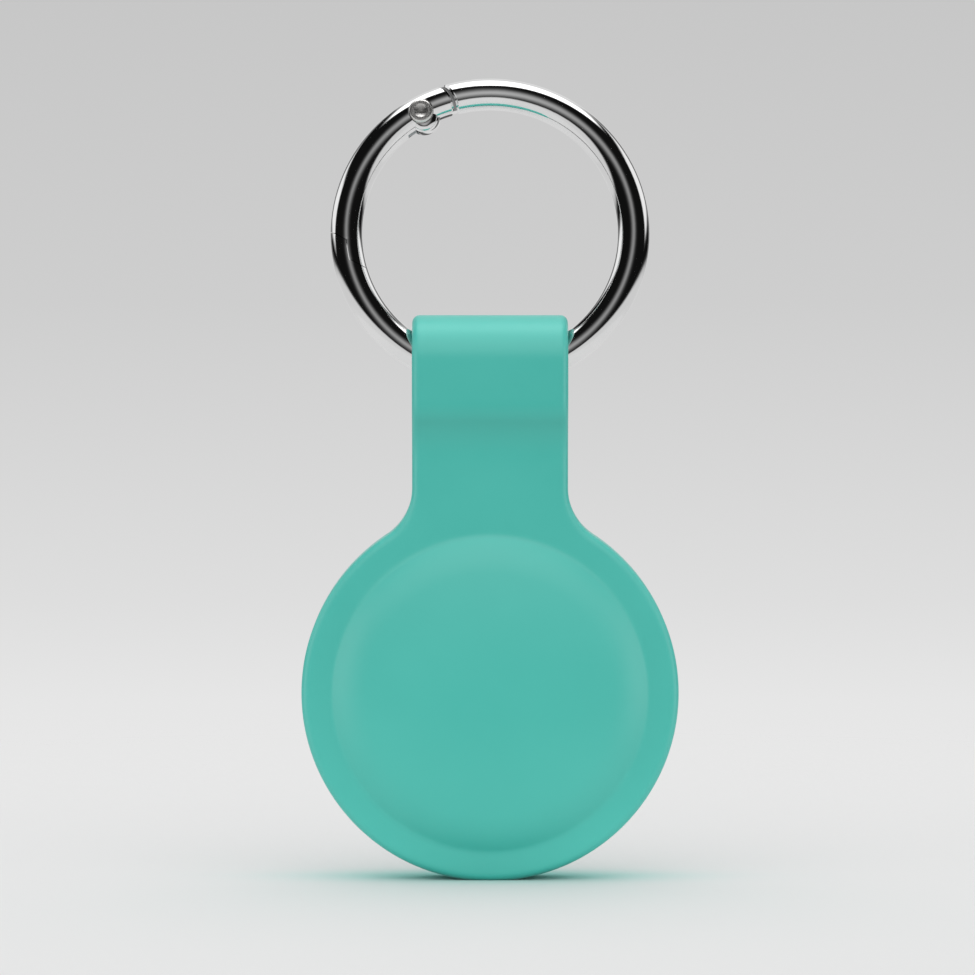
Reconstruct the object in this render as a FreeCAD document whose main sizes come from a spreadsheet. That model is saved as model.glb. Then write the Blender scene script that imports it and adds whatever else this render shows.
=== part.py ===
import FreeCAD, Part
import math
import os
import re
import types
import Sketcher
from FreeCAD import Placement, Rotation, Vector

os.makedirs("parts", exist_ok=True)
doc = FreeCAD.newDocument("tracker_tag_holder")

# Driving sizes in millimetres and degrees. Heights of the holder are measured from the middle of its round body, and
# depths from its middle plane, front negative.
SIZES = [
    ("overrun", 1.0),
    # Silicone moulding: round body, strap and loop.
    ("disc_radius", 20.0),
    ("foot_depth", 0.15),
    ("flange_thick", 5.6),
    ("rim_round", 0.8),
    ("strap_width", 16.5),
    ("neck_round", 6.1),
    ("loop_top", 40.05),
    ("loop_depth", 9.2),
    ("loop_flat", 8.8),
    ("swell_length", 6.8),
    ("swell_share", 0.35),
    ("loop_bore_radius", 3.25),
    ("loop_mouth_round", 0.45),
    ("pivot_drop", 4.9),
    # Silicone moulding: raised face, back lip and window.
    ("dome_radius", 16.77),
    ("dome_height", 3.2),
    ("cap_radius", 60.0),
    ("cap_edge", 13.0),
    ("lip_height", 2.2),
    ("lip_flat_radius", 14.4),
    ("lip_inner", 3.75),
    ("window_radius", 11.8),
    ("window_round", 0.5),
    ("tag_gap", 0.12),
    # Spring ring.
    ("ring_radius", 15.3),
    ("wire_radius", 1.7),
    ("ring_drop", 0.06),
    ("lean_angle", 15.0),
    ("rivet_angle", 29.5),
    ("rivet_inset", 0.3),
    ("heel_radius", 3.55),
    ("gate_share", 1.1765),
    ("lap_length", 1.8),
    ("heel_gap", 0.3),
    ("heel_bevel", 0.25),
    ("tip_gap", 0.06),
    ("lap_gap", 0.06),
    ("boss_radius", 1.55),
    ("boss_shift", 0.65),
    ("boss_thick", 2.7),
    ("boss_round", 0.8),
    ("slot_back", 2.4),
    ("tongue_thick", 1.1),
    ("tongue_gap", 0.1),
    ("tongue_half_height", 1.45),
    ("tongue_root_angle", 8.0),
    ("hub_radius", 1.15),
    ("cam_radius", 1.44),
    ("cam_throw", 0.8),
    ("cam_angle", 72.5),
    # Rivet, plunger and spring of the gate.
    ("rivet_radius", 0.62),
    ("rivet_fit", 0.04),
    ("head_radius", 1.28),
    ("head_height", 0.55),
    ("head_round", 0.3),
    ("head_dish_radius", 0.75),
    ("head_dish_depth", 0.22),
    ("spot_radius", 1.36),
    ("spot_half", 1.3),
    ("seat_gap", 0.02),
    ("bore_radius", 0.55),
    ("bore_drop", 0.75),
    ("bore_share", 0.4706),
    ("plunger_radius", 0.5),
    ("plunger_length", 2.4),
    ("spigot_radius", 0.2),
    ("spigot_length", 0.6),
    ("spring_radius", 0.36),
    ("spring_wire", 0.2),
    ("spring_pitch", 0.66),
    ("spring_end_gap", 0.05),
    # Tracker tag: shell and cover.
    ("tag_radius", 15.95),
    ("tag_thick", 8.0),
    ("belly_radius", 3.9),
    ("belly_shift", 0.6),
    ("shell_wall", 0.9),
    ("rim_back", 3.4),
    ("rim_inner", 2.4),
    ("cover_hole_radius", 13.4),
    ("cover_radius", 13.2),
    ("cover_edge", 3.45),
    ("cover_seat", 3.0),
    ("cover_wall", 0.45),
    ("skirt_radius", 12.95),
    ("skirt_wall", 0.6),
    ("skirt_low", 0.8),
    ("tab_thick", 0.6),
    ("tab_inner_radius", 11.4),
    ("tab_span", 20.0),
    ("merge", 0.05),
    # Tracker tag: tray, board, speaker and seal.
    ("tray_radius", 14.3),
    ("tray_front", 1.1),
    ("tray_floor", 0.3),
    ("tray_wall_radius", 11.15),
    ("tray_bore_radius", 10.25),
    ("tray_wall_top", 2.2),
    ("lug_radius", 12.15),
    ("lug_thick", 0.6),
    ("lug_span", 24.0),
    ("stop_start", 11.5),
    ("stop_span", 3.0),
    ("stop_low", 0.4),
    ("recess_depth", 0.45),
    ("recess_start", 3.0),
    ("recess_length", 6.0),
    ("recess_width", 2.0),
    ("leaf_wall", 0.15),
    ("leaf_width", 1.6),
    ("leaf_start", 3.3),
    ("leaf_foot", 2.0),
    ("leaf_rise", 0.3),
    ("leaf_ramp", 2.8),
    ("leaf_tip", 0.5),
    ("board_radius", 13.6),
    ("board_hole_radius", 6.2),
    ("board_thick", 0.6),
    ("board_gap", 0.05),
    ("notch_radius", 0.9),
    ("chip_height", 0.6),
    ("chip_ring_radius", 9.2),
    ("chip_side", 4.0),
    ("passive_height", 0.35),
    ("passive_length", 1.2),
    ("passive_width", 0.7),
    ("magnet_radius", 4.4),
    ("magnet_depth", 1.53),
    ("magnet_bevel", 0.25),
    ("coil_inner_radius", 4.75),
    ("coil_wall", 0.8),
    ("coil_front", 2.92),
    ("coil_depth", 1.4),
    ("seal_inner_radius", 10.4),
    ("seal_wall", 0.65),
    ("seal_back", 3.1),
    ("seal_round", 0.2),
    # Coin cell.
    ("cell_radius", 10.0),
    ("cell_front", 0.25),
    ("cell_thick", 3.2),
    ("cell_wall", 0.25),
    ("cell_bevel", 0.3),
    ("can_front", 0.15),
    ("crimp", 0.45),
    ("cap_cell_radius", 8.8),
    ("cap_bevel", 0.35),
    ("cap_depth", 2.55),
    ("cell_gap", 0.05),
]
DERIVED = [
    ("centre_height", "=disc_radius - foot_depth"),
    ("half_flange", "=flange_thick / 2"),
    ("pivot_height", "=loop_top - pivot_drop"),
    ("loop_flat_low", "=loop_top - loop_flat"),
    ("pinch_low", "=loop_flat_low - swell_length"),
    ("half_loop", "=loop_depth / 2"),
    ("half_strap", "=strap_width / 2"),
    ("half_tag", "=tag_thick / 2"),
    ("ring_offset", "=(ring_radius + sqrt(ring_radius ^ 2 - half_strap ^ 2)) / 2 - ring_drop"),
    ("rivet_ring_radius", "=ring_radius - rivet_inset"),
    ("tip_reach", "=ring_radius * gate_share"),
    ("lap_reach", "=tip_reach - lap_length"),
    ("bore_depth", "=ring_radius * bore_share"),
    ("slot_width", "=tongue_thick + 2 * tongue_gap"),
    ("rivet_hole_radius", "=rivet_radius + rivet_fit"),
    ("plunger_tip", "=cam_radius - cam_throw * cos(cam_angle)"),
]
CONTACTS = 3
TABS = 3
NOTCHES = 3
PASSIVES = 8
ARCS_PER_TURN = 4

sheet = doc.addObject("Spreadsheet::Sheet", "Sizes")
for row, (alias, value) in enumerate(SIZES + DERIVED, 1):
    sheet.set("A%d" % row, alias)
    sheet.set("B%d" % row, str(value))
    sheet.setAlias("B%d" % row, alias)
doc.recompute()
size = types.SimpleNamespace()
for alias, value in SIZES + DERIVED:
    setattr(size, alias, float(sheet.get(alias)))


def cell(expression):
    """The expression with each known alias read from the sheet."""
    return re.sub("[a-z_]+", lambda word: ("Sizes." if hasattr(size, word[0]) else "") + word[0], expression)


def bind(item, prop, expression):
    item.setExpression(prop, cell(expression))


def new_body(name, height=None):
    body = doc.addObject("PartDesign::Body", name)
    body.AllowCompound = True
    if height:
        bind(body, "Placement.Base.z", height)
    return body


def ring_body(name):
    """A body in the ring's own frame: middle of the ring at the origin, ring in the XZ plane, leaned back as one."""
    body = doc.addObject("PartDesign::Body", name)
    body.Placement = Placement(Vector(), Rotation(Vector(-1, 0, 0), size.lean_angle))
    bind(body, "Placement.Rotation.Angle", "lean_angle")
    bind(body, "Placement.Base.y", "ring_offset * sin(lean_angle)")
    bind(body, "Placement.Base.z", "centre_height + pivot_height + ring_offset * cos(lean_angle)")
    return body


def origin_part(body, role):
    return [part for part in body.Origin.OriginFeatures if part.Role == role][0]


def new_sketch(body, name, plane, offset=None):
    sketch = body.newObject("Sketcher::SketchObject", name)
    sketch.AttachmentSupport = [(origin_part(body, plane), "")]
    sketch.MapMode = "FlatFace"
    if offset:
        bind(sketch, "AttachmentOffset.Base.z", offset)
    return sketch


def hinge_sketch(body, name, along="0", radius="rivet_ring_radius"):
    """A sketch square to the ring's wire at the rivet: x runs along the rivet, y away from the ring's middle."""
    sketch = body.newObject("Sketcher::SketchObject", name)
    sketch.AttachmentSupport = [(origin_part(body, "YZ_Plane"), "")]
    sketch.MapMode = "FlatFace"
    sketch.AttachmentOffset = Placement(Vector(), Rotation(Vector(-1, 0, 0), size.rivet_angle))
    bind(sketch, "AttachmentOffset.Rotation.Angle", "rivet_angle")
    up = "( %s ) * cos(rivet_angle) + ( %s ) * sin(rivet_angle)" % (radius, along)
    out = "( %s ) * cos(rivet_angle) - ( %s ) * sin(rivet_angle)" % (along, radius)
    bind(sketch, "AttachmentOffset.Base.y", up)
    bind(sketch, "AttachmentOffset.Base.z", out)
    return sketch


def line(start, end):
    return Part.LineSegment(Vector(*start, 0), Vector(*end, 0))


def arc(middle, start, end):
    """The arc about middle from start counter-clockwise to end."""
    first = math.atan2(start[1] - middle[1], start[0] - middle[0])
    last = math.atan2(end[1] - middle[1], end[0] - middle[0])
    if last <= first:
        last += 2 * math.pi
    circle = Part.Circle(Vector(*middle, 0), Vector(0, 0, 1), math.dist(middle, start))
    return Part.ArcOfCircle(circle, first, last)


def add_wire(sketch, pieces):
    """Adds lines and arcs as one closed wire with its corners joined. Returns the number of its first piece."""
    first = sketch.GeometryCount
    for piece in pieces:
        sketch.addGeometry(piece, False)
    count = len(pieces)
    for index in range(count):
        near, far = pieces[index], pieces[(index + 1) % count]
        ends = [(near.StartPoint, 1), (near.EndPoint, 2)]
        starts = [(far.StartPoint, 1), (far.EndPoint, 2)]
        pairs = [((a - b).Length, i, j) for a, i in ends for b, j in starts]
        gap, here, there = min(pairs)
        link = (first + index, here, first + (index + 1) % count, there)
        sketch.addConstraint(Sketcher.Constraint("Coincident", *link))
    return first


def add_polygon(sketch, corners):
    return add_wire(sketch, [line(corners[i - 1], corners[i]) for i in range(len(corners))])


def hold_radius(sketch, index, expression):
    """Ties an arc's or circle's radius to the sheet."""
    number = sketch.addConstraint(Sketcher.Constraint("Radius", index, sketch.Geometry[index].Radius))
    bind(sketch, "Constraints[%d]" % number, expression)


def hold_point(sketch, index, spot, across=None, up=None):
    """Ties a point's distances from the sketch's origin to the sheet."""
    point = sketch.getPoint(index, spot)
    for kind, value, expression in (("DistanceX", point.x, across), ("DistanceY", point.y, up)):
        if expression:
            number = sketch.addConstraint(Sketcher.Constraint(kind, -1, 1, index, spot, value))
            bind(sketch, "Constraints[%d]" % number, expression)


def add_circle(sketch, middle, radius, expression, across=None, up=None):
    index = sketch.addGeometry(Part.Circle(Vector(*middle, 0), Vector(0, 0, 1), radius), False)
    hold_radius(sketch, index, expression)
    hold_point(sketch, index, 3, across, up)
    return index


def extrude(body, kind, name, sketch, length, both=False, back=False):
    """A Pad or Pocket of the sketch by the length, to both sides or one."""
    feature = body.newObject("PartDesign::" + kind, name)
    feature.Profile = sketch
    feature.SideType = "Symmetric" if both else "One side"
    feature.Reversed = back
    bind(feature, "Length", length)
    doc.recompute()
    return feature


def turn(body, kind, name, sketch, axis="H_Axis"):
    """A Revolution or Groove of the sketch all the way round its own axis."""
    feature = body.newObject("PartDesign::" + kind, name)
    feature.Profile = sketch
    feature.ReferenceAxis = (sketch, [axis])
    feature.Angle = 360
    doc.recompute()
    return feature


def repeat(body, name, originals, count):
    """Repeats features round the body's Y axis."""
    pattern = body.newObject("PartDesign::PolarPattern", name)
    pattern.Originals = originals
    pattern.Axis = (origin_part(body, "Y_Axis"), [""])
    pattern.Angle = 360
    pattern.Occurrences = count
    body.Tip = pattern
    doc.recompute()
    return pattern


def edges_where(shape, test):
    return ["Edge%d" % (i + 1) for i, edge in enumerate(shape.Edges) if test(edge)]


def dress(body, kind, name, base, edges, prop, expression):
    """A Fillet or Chamfer on the named edges of the feature before it."""
    feature = body.newObject("PartDesign::" + kind, name)
    feature.Base = (base, edges)
    bind(feature, prop, expression)
    doc.recompute()
    return feature


def is_circle(edge, radius, along=None, at=None):
    """True for a round edge of that radius, and at that place along a given axis."""
    if edge.Degenerated or not isinstance(edge.Curve, Part.Circle):
        return False
    if abs(edge.Curve.Radius - radius) > 1e-4:
        return False
    return along is None or abs(edge.Curve.Center.dot(along) - at) < 1e-4


def cross(first, first_radius, second, second_radius, side):
    """Where two circles cross, on the left (1) or right (-1) of the line between their middles."""
    gap = math.dist(first, second)
    reach = (gap**2 + first_radius**2 - second_radius**2) / (2 * gap)
    rise = side * math.sqrt(first_radius**2 - reach**2)
    way = ((second[0] - first[0]) / gap, (second[1] - first[1]) / gap)
    return (first[0] + reach * way[0] - rise * way[1], first[1] + reach * way[1] + rise * way[0])


# Silicone holder: outline padded through the loop's depth, then trimmed to its side view.
holder = new_body("silicone_holder", "centre_height")
neck_out = size.half_strap + size.neck_round
neck_up = math.sqrt((size.disc_radius + size.neck_round) ** 2 - neck_out**2)
neck_share = size.disc_radius / (size.disc_radius + size.neck_round)
foot_of_neck = (neck_out * neck_share, neck_up * neck_share)
above = size.loop_top + size.overrun
outline = new_sketch(holder, "holder_outline", "XZ_Plane")
first = add_wire(
    outline,
    [
        arc((0, 0), (-foot_of_neck[0], foot_of_neck[1]), foot_of_neck),
        arc((neck_out, neck_up), (size.half_strap, neck_up), foot_of_neck),
        line((size.half_strap, neck_up), (size.half_strap, above)),
        line((size.half_strap, above), (-size.half_strap, above)),
        line((-size.half_strap, above), (-size.half_strap, neck_up)),
        arc((-neck_out, neck_up), (-foot_of_neck[0], foot_of_neck[1]), (-size.half_strap, neck_up)),
    ],
)
hold_radius(outline, first, "disc_radius")
hold_radius(outline, first + 1, "neck_round")
hold_radius(outline, first + 5, "neck_round")
hold_point(outline, first + 2, 2, "half_strap", "loop_top + overrun")
hold_point(outline, first + 4, 1, "-1 * half_strap", "loop_top + overrun")
extrude(holder, "Pad", "holder_blank", outline, "loop_depth + 2 * overrun", both=True)

# Side view: flange and strap faces, a soft S into the loop, flat loop front, round top.
swell = 2 * math.atan2(size.half_loop - size.half_flange, size.loop_flat_low - size.pinch_low)
bend_sum = (size.loop_flat_low - size.pinch_low) / math.sin(swell)
swell_round = bend_sum * size.swell_share
pinch_round = bend_sum - swell_round
joint_of_bends = (
    size.half_flange + pinch_round * (1 - math.cos(swell)),
    size.pinch_low + pinch_round * math.sin(swell),
)
top_middle = size.loop_top - size.half_loop
below = -size.disc_radius - size.overrun
beyond = size.half_loop + 2 * size.overrun
side_view = new_sketch(holder, "holder_side_view", "YZ_Plane")
right = [
    line((size.half_flange, below), (size.half_flange, size.pinch_low)),
    arc((size.half_flange + pinch_round, size.pinch_low), joint_of_bends, (size.half_flange, size.pinch_low)),
    arc(
        (size.half_loop - swell_round, size.loop_flat_low),
        joint_of_bends,
        (size.half_loop, size.loop_flat_low),
    ),
    line((size.half_loop, size.loop_flat_low), (size.half_loop, top_middle)),
]
crown = arc((0, top_middle), (size.half_loop, top_middle), (-size.half_loop, top_middle))
left = [
    line((-size.half_loop, top_middle), (-size.half_loop, size.loop_flat_low)),
    arc(
        (swell_round - size.half_loop, size.loop_flat_low),
        (-size.half_loop, size.loop_flat_low),
        (-joint_of_bends[0], joint_of_bends[1]),
    ),
    arc(
        (-size.half_flange - pinch_round, size.pinch_low),
        (-size.half_flange, size.pinch_low),
        (-joint_of_bends[0], joint_of_bends[1]),
    ),
    line((-size.half_flange, size.pinch_low), (-size.half_flange, below)),
]
around = [
    line((-size.half_flange, below), (-beyond, below)),
    line((-beyond, below), (-beyond, above)),
    line((-beyond, above), (beyond, above)),
    line((beyond, above), (beyond, below)),
    line((beyond, below), (size.half_flange, below)),
]
first = add_wire(side_view, right + [crown] + left + around)
hold_radius(side_view, first + 4, "half_loop")
hold_point(side_view, first, 2, "half_flange", "pinch_low")
hold_point(side_view, first + 3, 1, "half_loop", "loop_flat_low")
hold_point(side_view, first + 8, 1, "-1 * half_flange", "pinch_low")
hold_point(side_view, first + 5, 2, "-1 * half_loop", "loop_flat_low")
trim = extrude(
    holder, "Pocket", "holder_trim", side_view, "2 * ( disc_radius + overrun )", both=True
)


def on_rim(edge):
    """True for the edges round the outline, and false for the straight ones across a face or a wall."""
    if not isinstance(edge.Curve, Part.Line):
        return True
    way = edge.Curve.Direction
    return abs(way.z) > 0.5


rim_edges = edges_where(trim.Shape, on_rim)
dress(holder, "Fillet", "holder_rim_round", trim, rim_edges, "Radius", "rim_round")

# Raised front face and back lip, as one turned solid through the flange.
apex = size.half_flange + size.dome_height
lip_back = size.half_flange + size.lip_height
cap_slope = math.asin(size.cap_edge / size.cap_radius)
cap_end = (size.cap_radius * (1 - math.cos(cap_slope)) - apex, size.cap_edge)
crease = (-size.half_flange, size.dome_radius)
step = (crease[0] - cap_end[0], crease[1] - cap_end[1])
inward = (math.cos(cap_slope), -math.sin(cap_slope))
shoulder_round = (step[0] ** 2 + step[1] ** 2) / (2 * (step[0] * inward[0] + step[1] * inward[1]))
shoulder_middle = (cap_end[0] + shoulder_round * inward[0], cap_end[1] + shoulder_round * inward[1])
lip_step = size.dome_radius - size.lip_flat_radius
lip_round = (size.lip_height**2 + lip_step**2) / (2 * size.lip_height)
raised = new_sketch(holder, "raised_faces", "YZ_Plane")
first = add_wire(
    raised,
    [
        arc((size.cap_radius - apex, 0), cap_end, (-apex, 0)),
        arc(shoulder_middle, crease, cap_end),
        line(crease, (size.half_flange, size.dome_radius)),
        arc(
            (lip_back - lip_round, size.lip_flat_radius),
            (lip_back, size.lip_flat_radius),
            (size.half_flange, size.dome_radius),
        ),
        line((lip_back, size.lip_flat_radius), (lip_back, 0)),
        line((lip_back, 0), (-apex, 0)),
    ],
)
hold_radius(raised, first, "cap_radius")
hold_point(raised, first + 2, 1, "-1 * half_flange", "dome_radius")
hold_point(raised, first + 4, 1, "half_flange + lip_height", "lip_flat_radius")
turn(holder, "Revolution", "holder_raised_faces", raised)


def tag_outline(grow, back):
    """The tag's rounded section from the front middle to a back plane, grown by a gap or shrunk by a wall. Gives the
    two arcs, and their ends at the axis and at the back plane."""
    belly_out = size.tag_radius - size.belly_radius
    depth = size.half_tag + size.belly_shift
    face = (belly_out**2 + depth**2 - size.belly_radius**2) / (2 * (depth - size.belly_radius))
    face_middle = (face - size.half_tag, 0)
    belly_middle = (size.belly_shift, belly_out)
    slope = math.atan2(belly_out, face_middle[0] - size.belly_shift)
    belly = size.belly_radius + grow
    front = (-size.half_tag - grow, 0)
    change = (size.belly_shift - belly * math.cos(slope), belly_out + belly * math.sin(slope))
    end = (back, belly_out + math.sqrt(belly**2 - (back - size.belly_shift) ** 2))
    return [arc(face_middle, change, front), arc(belly_middle, end, change)], front, end


# Pocket for the tag, open through the back window.
cavity, cavity_front, cavity_back = tag_outline(size.tag_gap, size.lip_inner)
out = lip_back + size.overrun
pocket = new_sketch(holder, "tag_pocket", "YZ_Plane")
first = add_wire(
    pocket,
    cavity
    + [
        line(cavity_back, (size.lip_inner, size.window_radius)),
        line((size.lip_inner, size.window_radius), (out, size.window_radius)),
        line((out, size.window_radius), (out, 0)),
        line((out, 0), cavity_front),
    ],
)
hold_radius(pocket, first + 1, "belly_radius + tag_gap")
hold_point(pocket, first + 2, 2, "lip_inner", "window_radius")
hollow = turn(holder, "Groove", "holder_tag_pocket", pocket)
window_edges = edges_where(
    hollow.Shape, lambda edge: is_circle(edge, size.window_radius, Vector(0, 1, 0), lip_back)
)
dress(holder, "Fillet", "holder_window_round", hollow, window_edges, "Radius", "window_round")

# Hole across the loop for the ring, with eased mouths, and the small flat that the rim stands on.
loop_hole = new_sketch(holder, "loop_hole", "YZ_Plane")
add_circle(loop_hole, (0, size.pivot_height), size.loop_bore_radius, "loop_bore_radius", up="pivot_height")
tunnel = extrude(
    holder, "Pocket", "holder_loop_hole", loop_hole, "strap_width + 2 * overrun", both=True
)
mouths = edges_where(tunnel.Shape, lambda edge: is_circle(edge, size.loop_bore_radius))
dress(holder, "Fillet", "holder_loop_mouths", tunnel, mouths, "Radius", "loop_mouth_round")
ground = -size.disc_radius + size.foot_depth
half_foot = size.disc_radius / 2
foot = new_sketch(holder, "standing_foot", "XZ_Plane")
first = add_polygon(
    foot, [(-half_foot, below), (half_foot, below), (half_foot, ground), (-half_foot, ground)]
)
hold_point(foot, first + 2, 2, "disc_radius / 2", "foot_depth - disc_radius")
extrude(holder, "Pocket", "holder_foot", foot, "loop_depth", both=True)

# Spring ring, in its own frame. Points below are in the plane of the ring.
middle = (0.0, 0.0)
lean = math.radians(size.rivet_angle)
rivet_at = (-size.rivet_ring_radius * math.sin(lean), size.rivet_ring_radius * math.cos(lean))
along_wire = (math.cos(lean), math.sin(lean))
outward = (-math.sin(lean), math.cos(lean))
outer_edge = size.ring_radius + size.wire_radius + size.overrun
inner_edge = size.ring_radius - size.wire_radius - size.overrun
RIVET_X = "-1 * rivet_ring_radius * sin(rivet_angle)"
RIVET_Z = "rivet_ring_radius * cos(rivet_angle)"


def by_rivet(along, out_by):
    """A point in the plane of the ring, measured from the rivet along the wire and outward."""
    return (
        rivet_at[0] + along * along_wire[0] + out_by * outward[0],
        rivet_at[1] + along * along_wire[1] + out_by * outward[1],
    )


def add_gate_zone(sketch, lap, heel_slack=0.0, tip_slack=0.0, heel_name="", tip_name=""):
    """Draws the part of the ring's plane that the gate takes up. Its ends are arcs about the rivet, so that they slide
    past the frame as the gate swings, and half of the tip is lapped behind the frame's lip."""
    heel = size.heel_radius + heel_slack
    tip, step_in = size.tip_reach + tip_slack, size.lap_reach + tip_slack
    heel_out = cross(middle, outer_edge, rivet_at, heel, -1)
    heel_in = cross(middle, inner_edge, rivet_at, heel, -1)
    tip_in = cross(middle, inner_edge, rivet_at, tip, 1)
    tip_lap = cross(middle, lap, rivet_at, tip, 1)
    step_lap = cross(middle, lap, rivet_at, step_in, 1)
    step_out = cross(middle, outer_edge, rivet_at, step_in, 1)
    begin = add_wire(
        sketch,
        [
            arc(rivet_at, heel_in, heel_out),
            arc(middle, heel_out, step_out),
            arc(rivet_at, step_out, step_lap),
            arc(middle, step_lap, tip_lap),
            arc(rivet_at, tip_lap, tip_in),
            arc(middle, heel_in, tip_in),
        ],
    )
    hold_radius(sketch, begin, "heel_radius" + heel_name)
    hold_radius(sketch, begin + 2, "lap_reach" + tip_name)
    hold_radius(sketch, begin + 4, "tip_reach" + tip_name)
    return begin


def add_ring_wire(body, name):
    section = new_sketch(body, name + "_section", "YZ_Plane")
    add_circle(section, (0, size.ring_radius), size.wire_radius, "wire_radius", up="ring_radius")
    return turn(body, "Revolution", name + "_wire", section)


def drill_rivet_hole(body, name):
    hole = new_sketch(body, name + "_hole_section", "XZ_Plane")
    add_circle(hole, rivet_at, size.rivet_hole_radius, "rivet_hole_radius", RIVET_X, RIVET_Z)
    return extrude(body, "Pocket", name + "_rivet_hole", hole, "4 * wire_radius", both=True)


def on_heel_cut(edge, radius):
    """True for the round edges where the wire was cut at the heel."""
    ends = [edge.valueAt(edge.FirstParameter), edge.valueAt((edge.FirstParameter + edge.LastParameter) / 2)]
    gaps = [math.dist((point.x, point.z), rivet_at) for point in ends]
    return max(abs(gap - radius) for gap in gaps) < 1e-4


# Ring frame: the wire without the gate's zone, and the hinge tongue with its cam.
frame = ring_body("ring_frame")
add_ring_wire(frame, "frame")
frame_zone = new_sketch(frame, "frame_gate_zone", "XZ_Plane")
frame_lap = size.ring_radius + size.lap_gap / 2
add_gate_zone(frame_zone, frame_lap, size.heel_gap, size.tip_gap, " + heel_gap", " + tip_gap")
frame_cut = extrude(frame, "Pocket", "frame_gate_gap", frame_zone, "4 * wire_radius", both=True)
seam_edges = edges_where(
    frame_cut.Shape, lambda edge: on_heel_cut(edge, size.heel_radius + size.heel_gap)
)
dress(frame, "Chamfer", "frame_heel_bevel", frame_cut, seam_edges, "Size", "heel_bevel")
root = math.radians(size.tongue_root_angle)
band_in = size.ring_radius - size.tongue_half_height
band_out = size.ring_radius + size.tongue_half_height


def on_ring(radius, angle):
    """A point on the ring's plane by radius and angle from its top, clockwise from the front."""
    return (radius * math.sin(angle), radius * math.cos(angle))


band = new_sketch(frame, "tongue_band_section", "XZ_Plane")
first = add_wire(
    band,
    [
        arc(middle, on_ring(band_out, -root), on_ring(band_out, -lean)),
        line(on_ring(band_out, -lean), on_ring(band_in, -lean)),
        arc(middle, on_ring(band_in, -root), on_ring(band_in, -lean)),
        line(on_ring(band_in, -root), on_ring(band_out, -root)),
    ],
)
hold_radius(band, first, "ring_radius + tongue_half_height")
hold_radius(band, first + 2, "ring_radius - tongue_half_height")
extrude(frame, "Pad", "tongue_band", band, "tongue_thick", both=True)
hub = new_sketch(frame, "tongue_hub_section", "XZ_Plane")
add_circle(hub, rivet_at, size.hub_radius, "hub_radius", RIVET_X, RIVET_Z)
extrude(frame, "Pad", "tongue_hub", hub, "tongue_thick", both=True)
cam_turn = math.radians(size.cam_angle)
cam_at = by_rivet(size.cam_throw * math.cos(cam_turn), -size.cam_throw * math.sin(cam_turn))
cam = new_sketch(frame, "tongue_cam_section", "XZ_Plane")
add_circle(cam, cam_at, size.cam_radius, "cam_radius")
extrude(frame, "Pad", "tongue_cam", cam, "tongue_thick", both=True)
drill_rivet_hole(frame, "frame")

# Ring gate: the wire inside the gate's zone, a knuckle below the rivet, the fork slot and the spring bore.
gate = ring_body("ring_gate")
add_ring_wire(gate, "gate")
gate_zone = new_sketch(gate, "gate_zone", "XZ_Plane")
add_gate_zone(gate_zone, size.ring_radius - size.lap_gap / 2)
add_circle(gate_zone, middle, outer_edge + size.overrun, "ring_radius + wire_radius + 2 * overrun")
gate_cut = extrude(gate, "Pocket", "gate_ends", gate_zone, "4 * wire_radius", both=True)
heel_edges = edges_where(gate_cut.Shape, lambda edge: on_heel_cut(edge, size.heel_radius))
dress(gate, "Chamfer", "gate_heel_bevel", gate_cut, heel_edges, "Size", "heel_bevel")
half_boss = size.boss_thick / 2
boss_flat = half_boss - size.boss_round
boss_side = size.boss_radius - size.boss_round
boss = hinge_sketch(gate, "gate_boss_section", radius="rivet_ring_radius - boss_shift")
first = add_wire(
    boss,
    [
        line((-half_boss, 0), (half_boss, 0)),
        line((half_boss, 0), (half_boss, boss_side)),
        arc((boss_flat, boss_side), (half_boss, boss_side), (boss_flat, size.boss_radius)),
        line((boss_flat, size.boss_radius), (-boss_flat, size.boss_radius)),
        arc((-boss_flat, boss_side), (-boss_flat, size.boss_radius), (-half_boss, boss_side)),
        line((-half_boss, boss_side), (-half_boss, 0)),
    ],
)
hold_radius(boss, first + 2, "boss_round")
hold_radius(boss, first + 4, "boss_round")
hold_point(boss, first + 3, 1, "boss_thick / 2 - boss_round", "boss_radius")
turn(gate, "Revolution", "gate_boss", boss)
bore = hinge_sketch(gate, "gate_bore_section")
add_circle(bore, (0, -size.bore_drop), size.bore_radius, "bore_radius", up="-1 * bore_drop")
extrude(gate, "Pocket", "gate_spring_bore", bore, "bore_depth")
spots = hinge_sketch(gate, "gate_spot_section")
far_side = size.wire_radius + size.overrun
for face in (1, -1):
    first = add_polygon(
        spots,
        [
            (face * size.spot_half, 0),
            (face * far_side, 0),
            (face * far_side, size.spot_radius),
            (face * size.spot_half, size.spot_radius),
        ],
    )
    hold_point(spots, first + 3, 2, "%d * spot_half" % face, "spot_radius")
turn(gate, "Groove", "gate_spot_faces", spots)
drill_rivet_hole(gate, "gate")
slot_end = size.heel_radius + size.overrun
slot_side = size.boss_radius + size.boss_shift + size.overrun
slot = new_sketch(gate, "gate_slot_section", "XZ_Plane")
add_polygon(
    slot,
    [
        by_rivet(-size.slot_back, -slot_side),
        by_rivet(slot_end, -slot_side),
        by_rivet(slot_end, slot_side),
        by_rivet(-size.slot_back, slot_side),
    ],
)
extrude(gate, "Pocket", "gate_slot", slot, "slot_width", both=True)

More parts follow.
